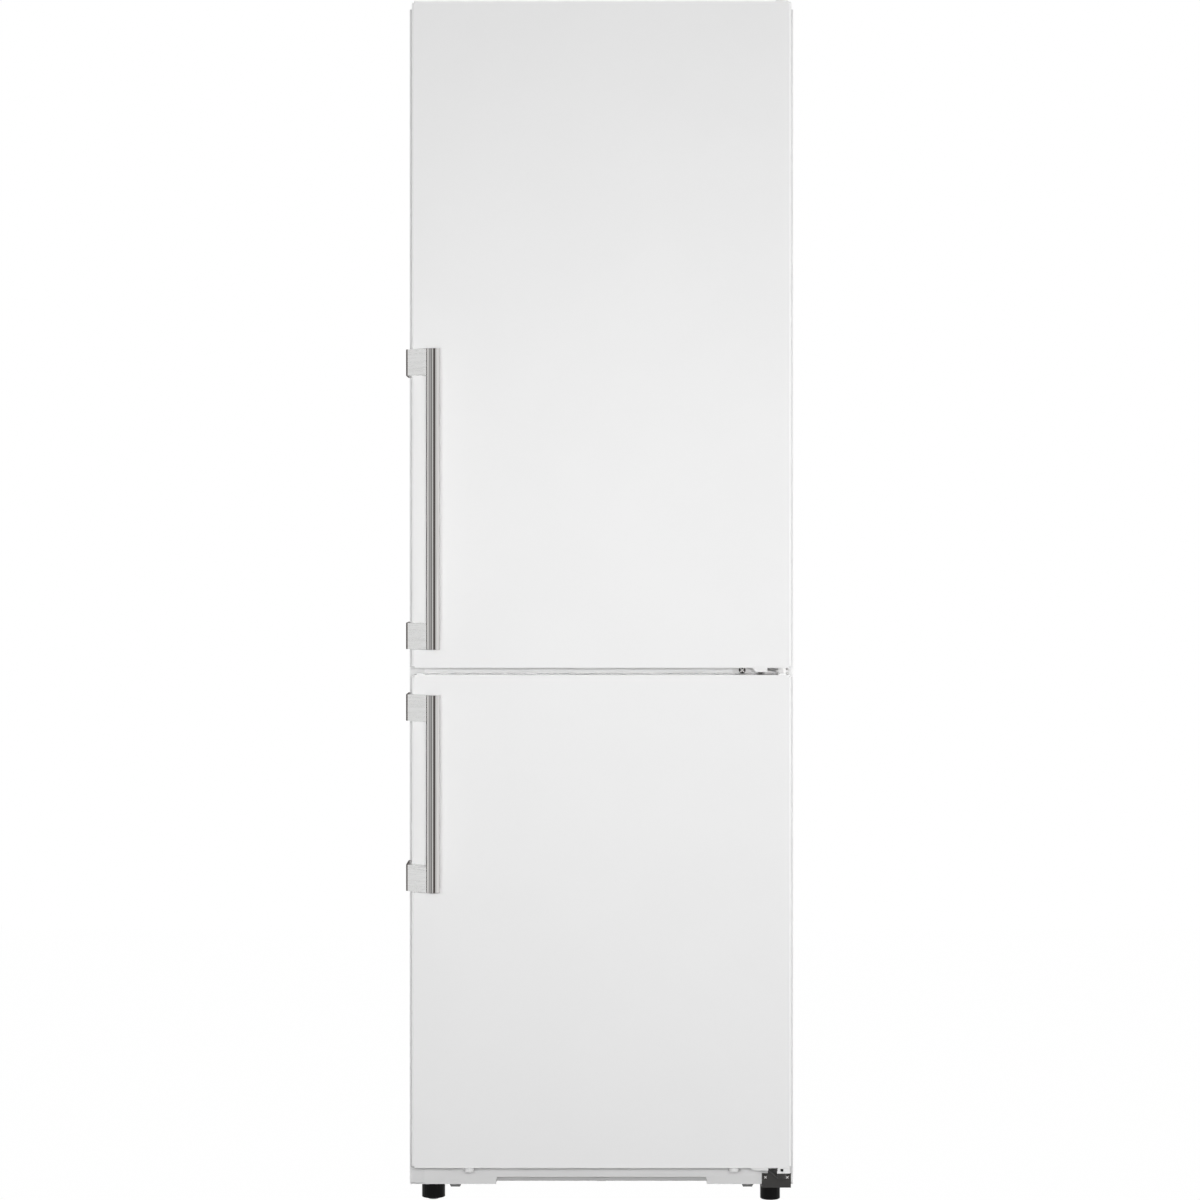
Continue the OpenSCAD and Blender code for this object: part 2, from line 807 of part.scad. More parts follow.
module temperature_knob() {
    ribs = 24;
    color("lightsteelblue") translate([knob_x, unit_front, knob_z]) rotate([90, 0, 0]) difference() {
        union() {
            translate([0, 0, seat]) cylinder(r = knob_r, h = knob_d - seat);
            translate([0, 0, -9]) cylinder(r = spindle_r, h = 10);
        }
        for (a = [0 : 360 / ribs : 359])
            rotate(a) translate([knob_r + 0.5, 0, 2]) cylinder(r = 1, h = knob_d);
        block([-0.8, knob_r / 3, knob_d - 1], [0.8, knob_r, knob_d + cut]);
    }
}

// Evaporator with fins on a bent tube, and the defrost heater below it
evap_y = cav_back - 0.45 * evap_d;
evap_z = step_z + evap_pitch + 20;
evap_hw = cav_hw - 49.5;
evap_top = evap_z + (evap_rows - 1) * evap_pitch + 16;
column_gap = 11;

// Points of a tube that runs to and fro from the right end of its lowest run
function snake(hw, z0, pitch, count, y) = [
    for (i = [0 : count - 1], k = [0, 1]) [((i + k) % 2 == 0 ? 1 : -1) * hw, y, z0 + i * pitch]
];

module evaporator() {
    bend = evap_pitch / 2;
    fin_t = 1;
    fin_hw = evap_hw - bend - 6;
    r = evap_tube_d / 2;
    heater_z = evap_z - 26;
    heater_r = 4;
    color("silver") {
        for (s = [-1, 1]) {
            y = evap_y + s * column_gap;
            points = snake(evap_hw + bend, evap_z, evap_pitch, evap_rows, y);
            inner = [for (i = [1 : len(points) - 2]) points[i]];
            last = [-evap_hw, y, evap_z + (evap_rows - 1) * evap_pitch];
            pipe(concat([[evap_hw, y, evap_z]], inner, [last]), r, bend);
        }
        for (i = [0 : fin_count - 1]) {
            x = -fin_hw + i * 2 * fin_hw / (fin_count - 1);
            outer = i == 0 || i == fin_count - 1;
            block([x - fin_t / 2, evap_y - 22, evap_z - 14],
                [x + fin_t / 2, outer ? cav_back : evap_y + 22, evap_top]);
            if (outer) difference() {
                block([x - fin_t / 2, evap_y - 10, heater_z - 8], [x + fin_t / 2, evap_y + 10, evap_z]);
                rod_x([x - fin_t, evap_y, heater_z], heater_r + axle_fit, 2 * fin_t);
            }
        }
    }
    color("dimgray") rod_x([-fin_hw - 8, evap_y, heater_z], heater_r, 2 * fin_hw + 16);
}

// Panel in front of the evaporator with the fan's round grille
fan_z = evap_top + fan_d / 2 + 20;
fan_y = cav_back - evap_d * 2 / 3;
grille_r = fan_d / 2 + 3;

module evaporator_cover() {
    panel_t = 3;
    panel_hw = cav_hw - 3;
    hub_r = 16;
    bars = 8;
    color("white") {
        difference() {
            front(evap_front, evap_front + panel_t) {
                rect([-panel_hw, step_z], [panel_hw, freezer_z1 - 2 * liner_r]);
                round_rect([-panel_hw, step_z + liner_r], [panel_hw, freezer_z1 - 1], liner_r);
            }
            rod_y([0, evap_front - cut, fan_z], grille_r, panel_t + 2 * cut);
            for (i = [0 : 9])
                block([-150 + i * 30, evap_front - cut, step_z + 24],
                    [-132 + i * 30, evap_front + panel_t + cut, step_z + 40]);
        }
        intersection() {
            rod_y([0, evap_front, fan_z], grille_r + cut, panel_t);
            union() {
                rod_y([0, evap_front, fan_z], hub_r, panel_t);
                for (a = [0 : 360 / bars : 359]) translate([0, 0, fan_z]) rotate([0, a, 0])
                    block([-1.5, evap_front, 0], [1.5, evap_front + panel_t, grille_r + 2]);
                for (r = [26, 38, 50]) difference() {
                    rod_y([0, evap_front, fan_z], r, panel_t);
                    rod_y([0, evap_front - cut, fan_z], r - 2, panel_t + 2 * cut);
                }
            }
        }
    }
}

module evaporator_fan() {
    hub_r = 18;
    fan_h = 20;
    blade_t = 2;
    color("dimgray") translate([0, fan_y, fan_z]) rotate([90, 0, 0]) difference() {
        union() {
            translate([0, 0, -fan_h / 2]) cylinder(r = hub_r, h = fan_h);
            intersection() {
                translate([0, 0, -fan_h / 2]) cylinder(r = fan_d / 2, h = fan_h);
                for (i = [0 : blade_count - 1]) rotate(i * 360 / blade_count) rotate([38, 0, 0])
                    block([hub_r - 4, -fan_d / 4, -blade_t / 2], [fan_d, fan_d / 4, blade_t / 2]);
            }
        }
        translate([0, 0, -fan_h]) cylinder(r = 2 + axle_fit, h = fan_h + 4);
    }
}

module fan_motor() {
    motor_r = 24;
    motor_front = fan_y + 14;
    color("gray") {
        rod_y([0, motor_front, fan_z], motor_r, cav_back - motor_front);
        rod_y([0, fan_y - 2, fan_z], 2, 18);
        for (a = [45, 135, 225, 315]) translate([0, 0, fan_z]) rotate([0, a, 0])
            block([-4, cav_back - 3, 0], [4, cav_back, motor_r + 14]);
    }
}

// Trough under the evaporator with its tube down to the bay
module drain_tube() {
    trough_hw = evap_hw - 10;
    trough_h = 12;
    wall = 1.5;
    color("lightgray") difference() {
        union() {
            block([-trough_hw, drain_y - 26, step_z], [trough_hw, drain_y + 26, step_z + trough_h]);
            rod_z([drain_x, drain_y, bay_top - 28], drain_r, step_wall + 30);
        }
        block([-trough_hw + wall, drain_y - 26 + wall, step_z + wall],
            [trough_hw - wall, drain_y + 26 - wall, step_z + trough_h + cut]);
        rod_z([drain_x, drain_y, bay_top - 30], drain_r - wall, step_wall + 34);
    }
}

module freezer_shelves() {
    color("lightcyan", 0.6) for (z = [step_shelf_z, upper_shelf_z])
        block([-cav_hw + glass_gap, freezer_ledge_front, z],
            [cav_hw - glass_gap, evap_front - 5, z + glass_t]);
}

// Open box of a freezer drawer with a thick front and a finger pocket
module freezer_drawer(z0, z1, y1) {
    front_hw = cav_hw - 4.5;
    pocket_hw = 70;
    color("aliceblue", 0.8) difference() {
        union() {
            plan(z0, z1 - 10) round_rect([-drawer_hw, freezer_front + 1], [drawer_hw, y1], 12);
            front(freezer_front, freezer_front + fascia_t)
                round_rect([-front_hw, z0], [front_hw, z1], liner_r - 4);
        }
        plan(z0 + drawer_t, z1) round_rect(
            [-drawer_hw + drawer_t, freezer_front + fascia_t],
            [drawer_hw - drawer_t, y1 - drawer_t], 10);
        front(freezer_front - cut, freezer_front + fascia_t - 2)
            round_rect([-pocket_hw, z1 - 46], [pocket_hw, z1 - 14], 6);
    }
}

lower_drawer_z = freezer_z0 + slide_gap;
middle_drawer_z = step_shelf_z + glass_t + slide_gap;
upper_drawer_z = upper_shelf_z + glass_t + slide_gap;

module freezer_drawer_lower() {
    freezer_drawer(lower_drawer_z, step_z - 12, step_y - 6);
}

module freezer_drawer_middle() {
    freezer_drawer(middle_drawer_z, upper_shelf_z - ledge_h - 6, evap_front - 7);
}

module freezer_drawer_upper() {
    freezer_drawer(upper_drawer_z, freezer_z1 - 20, evap_front - 7);
}

// Vegetable drawer that hangs by its rims on the liner's runners
crisper_front = y_door_back + bottle_d + crisper_back;
crisper_floor = fridge_z0 + 6;
module crisper_drawer() {
    rim_h = 3.5;
    rim_z = crisper_z + slide_gap;
    grip_hw = 80;
    color("aliceblue", 0.8) difference() {
        union() {
            plan(crisper_floor, rim_z)
                round_rect([-drawer_hw, crisper_front], [drawer_hw, shelf_back - 12], 16);
            plan(rim_z, rim_z + rim_h)
                rect([-cav_hw + 3, crisper_front + 20], [cav_hw - 3, shelf_back - 12]);
            side(-grip_hw, grip_hw) polygon([
                [crisper_front + 3, crisper_z - 30], [crisper_front - 12, crisper_z - 18],
                [crisper_front - 12, crisper_z - 12], [crisper_front + 3, crisper_z - 12]
            ]);
        }
        plan(crisper_floor + drawer_t, rim_z + rim_h + cut) round_rect(
            [-drawer_hw + drawer_t, crisper_front + drawer_t],
            [drawer_hw - drawer_t, shelf_back - 12 - drawer_t], 14);
    }
}

// Hermetic compressor: can with a domed top, feet plate, terminal cover and pipe stubs
module compressor() {
    r = can_d / 2;
    dome = 42;
    color("black") {
        translate([comp_x, comp_y, can_z]) {
            rotate_extrude() {
                rect([0, 6], [r, can_h - dome]);
                rect([0, can_h - dome - cut], [r - dome, can_h]);
                translate([r - dome, can_h - dome]) quarter_disc(dome);
                rect([0, 0], [r - 14, 6]);
                rect([0, can_h / 2 - 3], [r + 3, can_h / 2 + 3]);
            }
        }
        difference() {
            plan(can_z - foot_plate_t, can_z)
                round_rect([comp_x - 96, comp_y - 66], [comp_x + 96, comp_y + 66], 12);
            for (p = grommets) rod_z([p[0], p[1], can_z - 2 * foot_plate_t], 5, 3 * foot_plate_t);
        }
        block([comp_x + r - 8, comp_y - 30, can_z + 20], [comp_x + r + 26, comp_y + 30, can_z + 62]);
        rod_x([comp_x + r / 2, comp_y - 50, hot_z], 4.5, r / 2 + stub_l);
        rod_x([comp_x - r - stub_l, comp_y, suction_z], 5.5, 20);
    }
}

// Cross member that carries the compressor, with the rollers' cheeks and axles
cheek_gap = 1;
module compressor_tray() {
    axle_z = roller_d / 2;
    cheek_t = tray_t;
    axle_hw = roller_w / 2 + cheek_gap + cheek_t;
    color("gray") {
        difference() {
            union() {
                block([-inner_w, tray_front, tray_z], [inner_w, tray_back, tray_top]);
                both() block([inner_w - tray_t, tray_front, tray_z], [inner_w, tray_back, tray_z + 30]);
                block([-inner_w, tray_front, tray_z], [inner_w, tray_front + tray_t, tray_z + 16]);
            }
            for (p = grommets) rod_z([p[0], p[1], tray_z - cut], 3.5, tray_t + 2 * cut);
        }
        both() {
            for (s = [-1, 1]) {
                x = roller_x + s * (roller_w / 2 + cheek_gap + cheek_t / 2);
                side(x - cheek_t / 2, x + cheek_t / 2) {
                    rect([roller_y - 14, axle_z], [roller_y + 14, tray_z]);
                    translate([roller_y, axle_z]) circle(14);
                }
            }
            rod_x([roller_x - axle_hw - 2, roller_y, axle_z], axle_d / 2, 2 * axle_hw + 4);
        }
    }
}

module rear_roller() {
    r = roller_d / 2;
    bore = axle_d / 2 + axle_fit;
    translate([roller_x, roller_y, r]) rotate([0, 90, 0]) rotate_extrude() difference() {
        round_rect([bore, -roller_w / 2], [r, roller_w / 2], 1.5);
        for (s = [-1, 1]) rect([bore + 4, s * roller_w / 2 - 3], [r - 4, s * roller_w / 2 + 3]);
    }
}

module rear_roller_right() {
    color("dimgray") rear_roller();
}

module rear_roller_left() {
    color("dimgray") mirror([1, 0, 0]) rear_roller();
}

module compressor_mounts() {
    color("black") for (p = grommets) translate([p[0], p[1], tray_top]) rotate_extrude() difference() {
        union() {
            rect([3, 0], [12, grommet_h]);
            rect([3, grommet_h - cut], [4.8, grommet_h + foot_plate_t + 2]);
        }
        rect([9.5, grommet_h / 2 - 2], [12 + cut, grommet_h / 2 + 2]);
    }
}

// Tray that catches the defrost water on the warm compressor
module drip_tray() {
    z0 = can_z + can_h;
    hw = 90;
    y0 = comp_y - 84;
    y1 = comp_y + 62;
    h = 26;
    color("whitesmoke") difference() {
        plan(z0, z0 + h) round_rect([comp_x - hw - 20, y0], [comp_x + hw, y1], 12);
        plan(z0 + 2, z0 + h + cut)
            round_rect([comp_x - hw - 18, y0 + 2], [comp_x + hw - 2, y1 - 2], 10);
    }
}

// Wire-on-tube condenser: one tube in many bends, two rails and straight wires front and back
module condenser() {
    bend = run_pitch / 2;
    rail_t = 1.2;
    rail_w = 9;
    overhang = 14;
    foot_h = 16;
    points = snake(run_hw + bend, cond_z0, run_pitch, run_count, cond_y);
    runs = [for (i = [1 : len(points) - 2]) points[i]];
    outlet = [[drop_x, cond_y, outlet_z], [drop_x, cond_y, cond_z0]];
    inlet = [[riser_x, cond_y, cond_z1], [riser_x, cond_y, hot_z + 30]];
    color("dimgray") {
        pipe(concat(outlet, runs, inlet), cond_tube_d / 2, bend);
        both() {
            block([rail_x, cond_y - rail_w / 2, cond_z0 - overhang],
                [rail_x + rail_t, cond_y + cond_tube_d / 2, cond_z1 + overhang]);
            for (z = [cond_z0 + run_pitch / 2, cond_z1 - run_pitch / 2]) {
                block([rail_x, y_panel, z], [rail_x + rail_t, cond_y, z + foot_h]);
                block([rail_x, y_panel, z], [rail_x + foot_h, y_panel + rail_t, z + foot_h]);
            }
        }
        for (i = [0 : wire_count - 1], s = [-1, 1]) {
            x = -rail_x + (i + 1) * 2 * rail_x / (wire_count + 1);
            y = cond_y + s * (cond_tube_d / 2 + wire_d / 2 + seat / 2);
            rod_z([x, y, cond_z0 - overhang], wire_d / 2, cond_z1 - cond_z0 + 2 * overhang);
        }
    }
}

// Copper pipes: hot gas to the condenser, liquid through the drier, and suction from the foam
stub_l = 4;
suction_z = can_z + 92;
module refrigerant_pipes() {
    r = can_d / 2 + stub_l;
    hot_y = comp_y - 50;
    drier_r = 9;
    drier_h = 80;
    drier_y = y_back - 34;
    drier_z = outlet_z - 52 - drier_h;
    color("peru") {
        pipe([[comp_x + r, hot_y, hot_z], [riser_x, hot_y, hot_z],
            [riser_x, cond_y, hot_z], [riser_x, cond_y, hot_z + 30]], 3, 12);
        pipe([[comp_x - r, comp_y, suction_z], [comp_x - r - 45, comp_y, suction_z],
            [comp_x - r - 45, comp_y, bay_top]], 4, 14);
        pipe([[drop_x, cond_y, outlet_z], [drop_x, cond_y, outlet_z - 26],
            [drop_x, drier_y, outlet_z - 26], [drop_x, drier_y, outlet_z - 52]], 2.4, 12);
        translate([drop_x, drier_y, drier_z]) rotate_extrude() polygon([
            [0, 0], [3, 0], [drier_r, 9], [drier_r, drier_h - 9], [3, drier_h], [0, drier_h]
        ]);
        pipe([[drop_x, drier_y, drier_z], [drop_x, drier_y, drier_z - 20],
            [drop_x - 40, drier_y, drier_z - 20], [drop_x - 40, drier_y, bay_top]], 1.5, 8);
    }
}

// Cable entry at the back: a bracket with a round gland
gland_x = half_w - 97.5;
gland_z = tray_top + 24;
module power_inlet() {
    cable_r = 4;
    color("black") difference() {
        union() {
            block([gland_x - 16, tray_back - 24, tray_top], [gland_x + 16, tray_back - 8, gland_z + 16]);
            rod_y([gland_x, tray_back - 9, gland_z], 9, 13);
        }
        rod_y([gland_x, tray_back - 40, gland_z], cable_r, 60);
    }
}

// Upper hinge: a plate on the cabinet's top with a pin that points down
module top_hinge() {
    arm_r = 9;
    z = cabinet_top;
    color("silver") difference() {
        union() {
            plan(z, z + hinge_t) {
                round_rect([hinge_x - 58, y_cab + 4], [hinge_x + 14, y_cab + 62], 6);
                polygon([
                    [hinge_x - 24, y_cab + 10], [hinge_x - arm_r, hinge_y],
                    [hinge_x + arm_r, hinge_y], [hinge_x + 14, y_cab + 10]
                ]);
                translate([hinge_x, hinge_y]) circle(arm_r);
            }
            rod_z([hinge_x, hinge_y, fridge_door_z1 - pin_in + 1], pin_d / 2, z - fridge_door_z1 + pin_in);
        }
        for (p = top_screws) rod_z([p[0], p[1], z - cut], screw_bore_r, hinge_t + 2 * cut);
    }
}

// Middle hinge: a plate on the mullion, a tongue in the doors' gap and a pin into both doors
module middle_hinge() {
    plate_r = 9.5;
    plate_x0 = hinge_x - 73;
    plate_x1 = hinge_x + 14;
    tongue_r = 10;
    collar_r = 6.5;
    plate_y = y_cab - hinge_t;
    tongue_z = mid_z - hinge_t / 2;
    color("gainsboro") difference() {
        union() {
            front(plate_y, y_cab) {
                translate([plate_x0 + plate_r, mid_z]) circle(plate_r);
                rect([plate_x0 + plate_r, mid_z - plate_r], [plate_x1, mid_z + plate_r]);
            }
            plan(tongue_z, tongue_z + hinge_t) {
                polygon([
                    [hinge_x - 19, y_cab - 1], [hinge_x - tongue_r, hinge_y],
                    [hinge_x + tongue_r, hinge_y], [hinge_x + tongue_r + 2, y_cab - 1]
                ]);
                translate([hinge_x, hinge_y]) circle(tongue_r);
            }
            rod_z([hinge_x, hinge_y, freezer_door_z1 - pin_in + 1], pin_d / 2,
                door_split + 2 * pin_in - 2);
            rod_z([hinge_x, hinge_y, freezer_door_z1 + seat], collar_r, door_split - 2 * seat);
        }
        for (p = mid_screws) rod_y([p[0], plate_y - cut, p[1]], screw_bore_r, hinge_t + 2 * cut);
    }
}

// Lower hinge: a bracket on the base with a foot plate, a tongue and a pin that points up
bracket_x0 = hinge_x - 27.5;
bracket_x1 = hinge_x + 17.6;
tongue_top = base_z + 24;
cam_gap = 5.7;
cam_z = tongue_top + cam_gap + seat;
module bottom_hinge() {
    z0 = base_z - bracket_drop;
    plate_y = y_cab - hinge_t;
    plate_h = 22;
    tongue_r = 7;
    color("dimgray") difference() {
        union() {
            block([bracket_x0, plate_y, z0], [bracket_x1, y_cab, z0 + plate_h]);
            block([bracket_x0, plate_y, z0], [bracket_x1, foot_y + 24, z0 + hinge_t]);
            block([hinge_x - 18, plate_y, z0 + plate_h - 2], [hinge_x + 5, y_cab, tongue_top]);
            plan(tongue_top - hinge_t, tongue_top) {
                polygon([
                    [hinge_x - 18, y_cab - 1], [hinge_x - tongue_r, hinge_y],
                    [hinge_x + tongue_r, hinge_y], [hinge_x + 5, y_cab - 1]
                ]);
                translate([hinge_x, hinge_y]) circle(tongue_r);
            }
            rod_z([hinge_x, hinge_y, tongue_top - 1], tongue_r - 0.5, cam_gap + 1);
            rod_z([hinge_x, hinge_y, tongue_top], pin_d / 2, door_bottom + pin_in - 1 - tongue_top);
        }
        for (p = low_screws) rod_y([p[0], plate_y - cut, p[1]], screw_bore_r, hinge_t + 2 * cut);
        rod_z([right_foot_x, foot_y, z0 - cut], stem_d / 2 + seat, hinge_t + 2 * cut);
    }
}

// Cap over the upper hinge's plate
module hinge_cover() {
    wall = 2;
    h = 12;
    x0 = hinge_x - 66;
    x1 = hinge_x + 19;
    y0 = y_cab + 1;
    y1 = y_cab + 72;
    z = cabinet_top;
    color("white") difference() {
        plan(z, z + h) round_rect([x0, y0], [x1, y1], 6);
        plan(z - cut, z + h - wall) round_rect([x0 + wall, y0 + wall], [x1 - wall, y1 - wall], 4);
        block([hinge_x - 26, y0 - cut, z - cut], [hinge_x + 15, y0 + 8, z + hinge_t + seat]);
    }
}

module hinge_screws() {
    color("silver") {
        for (p = low_screws) translate([p[0], y_cab - hinge_t, p[1]]) rotate([90, 0, 0])
            screw(low_head_d, shank_h + hinge_t);
        for (p = mid_screws) translate([p[0], y_cab - hinge_t, p[1]]) rotate([90, 0, 0])
            screw(mid_head_d, shank_h + hinge_t);
        for (p = top_screws) translate([p[0], p[1], cabinet_top + hinge_t])
            screw(low_head_d, shank_h + hinge_t);
    }
}

// Screw foot: ribbed body with a threaded stem and a sole of points [share of the radius, height]
module screw_foot(x, top, d, ribs, sole) {
    r = d / 2;
    rib_r = 1.1;
    translate([x, foot_y, 0]) {
        difference() {
            rotate_extrude()
                polygon(concat([[0, 0]], [for (p = sole) [p[0] * r, p[1]]], [[r, top], [0, top]]));
            for (i = [0 : ribs - 1]) rotate(i * 360 / ribs)
                translate([r + rib_r / 2, 0, -cut]) cylinder(r = rib_r, h = top - 3 + cut);
        }
        translate([0, 0, top]) cylinder(r = stem_d / 2, h = stem_h);
    }
}

module front_foot_left() {
    color("black") screw_foot(left_foot_x, base_z, left_foot_d, 22, [[0.42, 0], [0.58, 1.4], [1, 3.6]]);
}

module front_foot_right() {
    color("black")
        screw_foot(right_foot_x, base_z - bracket_drop, right_foot_d, 12, [[0.9, 0], [1, 1]]);
}

// Door sheet: front, bent upright edges, sides and short rear flanges
module door_skin(z0, z1) {
    back_flange = 8;
    plan(z0 + cap_rim, z1 - cap_rim) {
        rect([-door_hw + edge_r, y_door], [door_hw - edge_r, y_door + sheet]);
        both() {
            translate([-door_hw + edge_r, y_door + edge_r]) rotate(180) quarter_ring(edge_r, sheet);
            rect([-door_hw, y_door + edge_r], [-door_hw + sheet, y_door_back]);
            rect([-door_hw, y_door_back - sheet], [-door_hw + back_flange, y_door_back]);
        }
    }
}
door_plate_hw = door_hw - 8 - seat;

// Outline in plan of what fills a door inside its sheet
module door_core() {
    round_rect([-door_hw + sheet, y_door + sheet],
        [door_hw - sheet, y_door_back - liner_t], edge_r - sheet);
}

// Raised frame on a door's inner face, shrunk by t on every side
module dyke(t, hw, z0, z1, rise) {
    front(y_door_back - liner_t, y_door_back + rise - t) difference() {
        round_rect([-hw + t, z0 + t], [hw - t, z1 - t], dyke_r - t);
        round_rect([-hw + dyke_w - t, z0 + dyke_w - t], [hw - dyke_w + t, z1 - dyke_w + t], dyke_r / 2);
    }
}

// Moulded inner face of a door
module door_liner(z0, z1, hw, dz0, dz1, rise) {
    difference() {
        union() {
            front(y_door_back - liner_t, y_door_back)
                rect([-door_plate_hw, z0 + cap_rim], [door_plate_hw, z1 - cap_rim]);
            dyke(0, hw, dz0, dz1, rise);
        }
        dyke(liner_t, hw, dz0, dz1, rise);
    }
}

module door_foam(z0, z1, hw, dz0, dz1, rise) {
    plan(z0 + cap_rim + cap_h, z1 - cap_rim - cap_h) door_core();
    dyke(liner_t, hw, dz0, dz1, rise);
}

// End cap with its rim at height 0, its plug below and a bore for the hinge pin
module end_cap() {
    rim_in = 3.5;
    difference() {
        union() {
            plan(-cap_rim, 0)
                round_rect([-door_hw + rim_in, y_door], [door_hw - rim_in, y_door_back - 1], 2);
            plan(-cap_rim - cap_h, -cap_rim) door_core();
            translate([hinge_x, hinge_y, -cap_rim]) cylinder(r = 8, h = cap_rim);
        }
        rod_z([hinge_x, hinge_y, -pin_in], pin_d / 2 + pin_fit, pin_in + cut);
    }
}

// Gasket: a foot on the door, a narrow neck and the magnet's bulb
module gasket(z0, z1) {
    foot_h = 3;
    neck_h = 4;
    bulb_h = seal_gap - gasket_gap - foot_h - neck_h;
    module layer(from, h, inset) {
        out = gasket_edge + inset;
        in = gasket_edge + gasket_w - inset;
        front(y_door_back + from, y_door_back + from + h) difference() {
            rect([-door_hw + out, z0 + out], [door_hw - out, z1 - out]);
            rect([-door_hw + in, z0 + in], [door_hw - in, z1 - in]);
        }
    }
    color("white") {
        layer(0, foot_h, 0);
        layer(foot_h, neck_h, 4);
        layer(foot_h + neck_h, bulb_h, 1);
    }
}

// Handle mounts: a leg along the door's side and an arm that slants out to the bar
module handle_mounts(z0, z1) {
    f = y_door;
    bar_x = -half_w + bar_in;
    color("silver") for (z = [z0, z1 - mount_h]) plan(z, z + mount_h) polygon([
        [-half_w, f + mount_leg], [-half_w, f - 8], [-half_w + 1.5, f - 11],
        [bar_x, y_front + 4.5], [bar_x, y_front + bar_d - 1],
        [-door_hw + 7, f], [-door_hw, f], [-door_hw, f + mount_leg]
    ]);
}

module handle_bar(z0, z1) {
    ease = 2;
    ease_d = 5.4;
    bar_x = -half_w + bar_in;
    bar_x1 = bar_x + bar_w;
    color("silver") plan(z0, z1) intersection() {
        union() {
            round_rect([bar_x, y_front + bar_d / 3], [bar_x1, y_front + bar_d], bar_r);
            polygon([
                [bar_x, y_front + ease_d], [bar_x + ease, y_front],
                [bar_x1 - ease, y_front], [bar_x1, y_front + ease_d],
                [bar_x1, y_front + bar_d - bar_r], [bar_x, y_front + bar_d - bar_r]
            ]);
        }
        translate([bar_x + bar_w / 2, y_front + bar_front_r]) circle(bar_front_r);
    }
}

module fridge_door_skin() {
    color("white") door_skin(fridge_door_z0, fridge_door_z1);
}

module fridge_door_liner() {
    inner = fridge_dyke_hw - dyke_w;
    color("whitesmoke") {
        door_liner(fridge_door_z0, fridge_door_z1, fridge_dyke_hw,
            fridge_dyke_z0, fridge_dyke_z1, fridge_rise);
        for (z = [bottle_z, bin_z, dairy_z]) both()
            block([inner - 8, y_door_back + 8, z - bin_ledge_h], [inner + liner_t / 2, y_door_back + 46, z]);
    }
}

module fridge_door_foam() {
    color("khaki")
        door_foam(fridge_door_z0, fridge_door_z1, fridge_dyke_hw,
            fridge_dyke_z0, fridge_dyke_z1, fridge_rise);
}

// Lug under a door, tapered at its left end
module stop_lug(x0, x1, h) {
    front(hinge_y - 8, hinge_y) polygon([[x0, 0], [x0 + 6, h], [x1, h], [x1, 0]]);
}

module fridge_door_end_caps() {
    color("white") {
        translate([0, 0, fridge_door_z1]) end_cap();
        translate([0, 0, fridge_door_z0]) mirror([0, 0, 1]) {
            end_cap();
            stop_lug(hinge_x - 46, hinge_x - 22, 7);
            rod_z([-235, hinge_y, 0], 3, 2);
        }
    }
}

module fridge_door_gasket() {
    gasket(fridge_door_z0, fridge_door_z1);
}

fridge_handle_z0 = fridge_door_z0 + handle_gap;
module fridge_handle_bar() {
    handle_bar(fridge_handle_z0, fridge_handle_z0 + fridge_handle_h);
}

module fridge_handle_mounts() {
    handle_mounts(fridge_handle_z0, fridge_handle_z0 + fridge_handle_h);
}

// Open door shelf with a rounded front wall
module door_bin(z, h, depth) {
    r = 18;
    y0 = y_door_back + seat;
    y1 = y_door_back + depth;
    difference() {
        plan(z, z + h) {
            round_rect([-bin_hw, y0], [bin_hw, y1], r);
            rect([-bin_hw, y0], [bin_hw, y0 + r]);
        }
        plan(z + bin_t, z + h + cut) {
            round_rect([-bin_hw + bin_t, y0 + bin_t], [bin_hw - bin_t, y1 - bin_t], r - bin_t);
            rect([-bin_hw + bin_t, y0 + bin_t], [bin_hw - bin_t, y0 + r]);
        }
    }
}

module door_bins() {
    color("aliceblue", 0.8) {
        door_bin(bottle_z, bottle_h, bottle_d);
        door_bin(bin_z, bin_h, shelf_bin_d);
    }
}

// Covered compartment: a bin with ears for the lid's pins
lid_hw = bin_hw - bin_t - 4;
module dairy_bin() {
    color("aliceblue", 0.8) difference() {
        door_bin(dairy_z, dairy_h, shelf_bin_d);
        both() rod_x([lid_hw - cut, lid_y, lid_z], lid_pin_r + axle_fit, bin_hw - lid_hw + 2 * cut);
    }
}

module dairy_lid() {
    barrel_r = 4;
    z = dairy_z + dairy_h + seat;
    color("lightblue", 0.7) {
        rod_x([-lid_hw, lid_y, lid_z], barrel_r, 2 * lid_hw);
        both() rod_x([lid_hw - 1, lid_y, lid_z], lid_pin_r, bin_hw - lid_hw);
        block([-lid_hw, lid_y - lid_t / 2, lid_z], [lid_hw, lid_y + lid_t / 2, z + lid_t]);
        plan(z, z + lid_t)
            round_rect([-lid_hw, lid_y - lid_t / 2], [lid_hw, y_door_back + shelf_bin_d - 1], 2);
    }
}

// Freezer door
freezer_dyke_z0 = freezer_z0 + dyke_gap;
freezer_dyke_z1 = freezer_z1 - dyke_gap;

module freezer_door_skin() {
    color("white") door_skin(door_bottom, freezer_door_z1);
}

module freezer_door_liner() {
    color("whitesmoke")
        door_liner(door_bottom, freezer_door_z1, freezer_dyke_hw,
            freezer_dyke_z0, freezer_dyke_z1, freezer_rise);
}

module freezer_door_foam() {
    color("khaki")
        door_foam(door_bottom, freezer_door_z1, freezer_dyke_hw,
            freezer_dyke_z0, freezer_dyke_z1, freezer_rise);
}

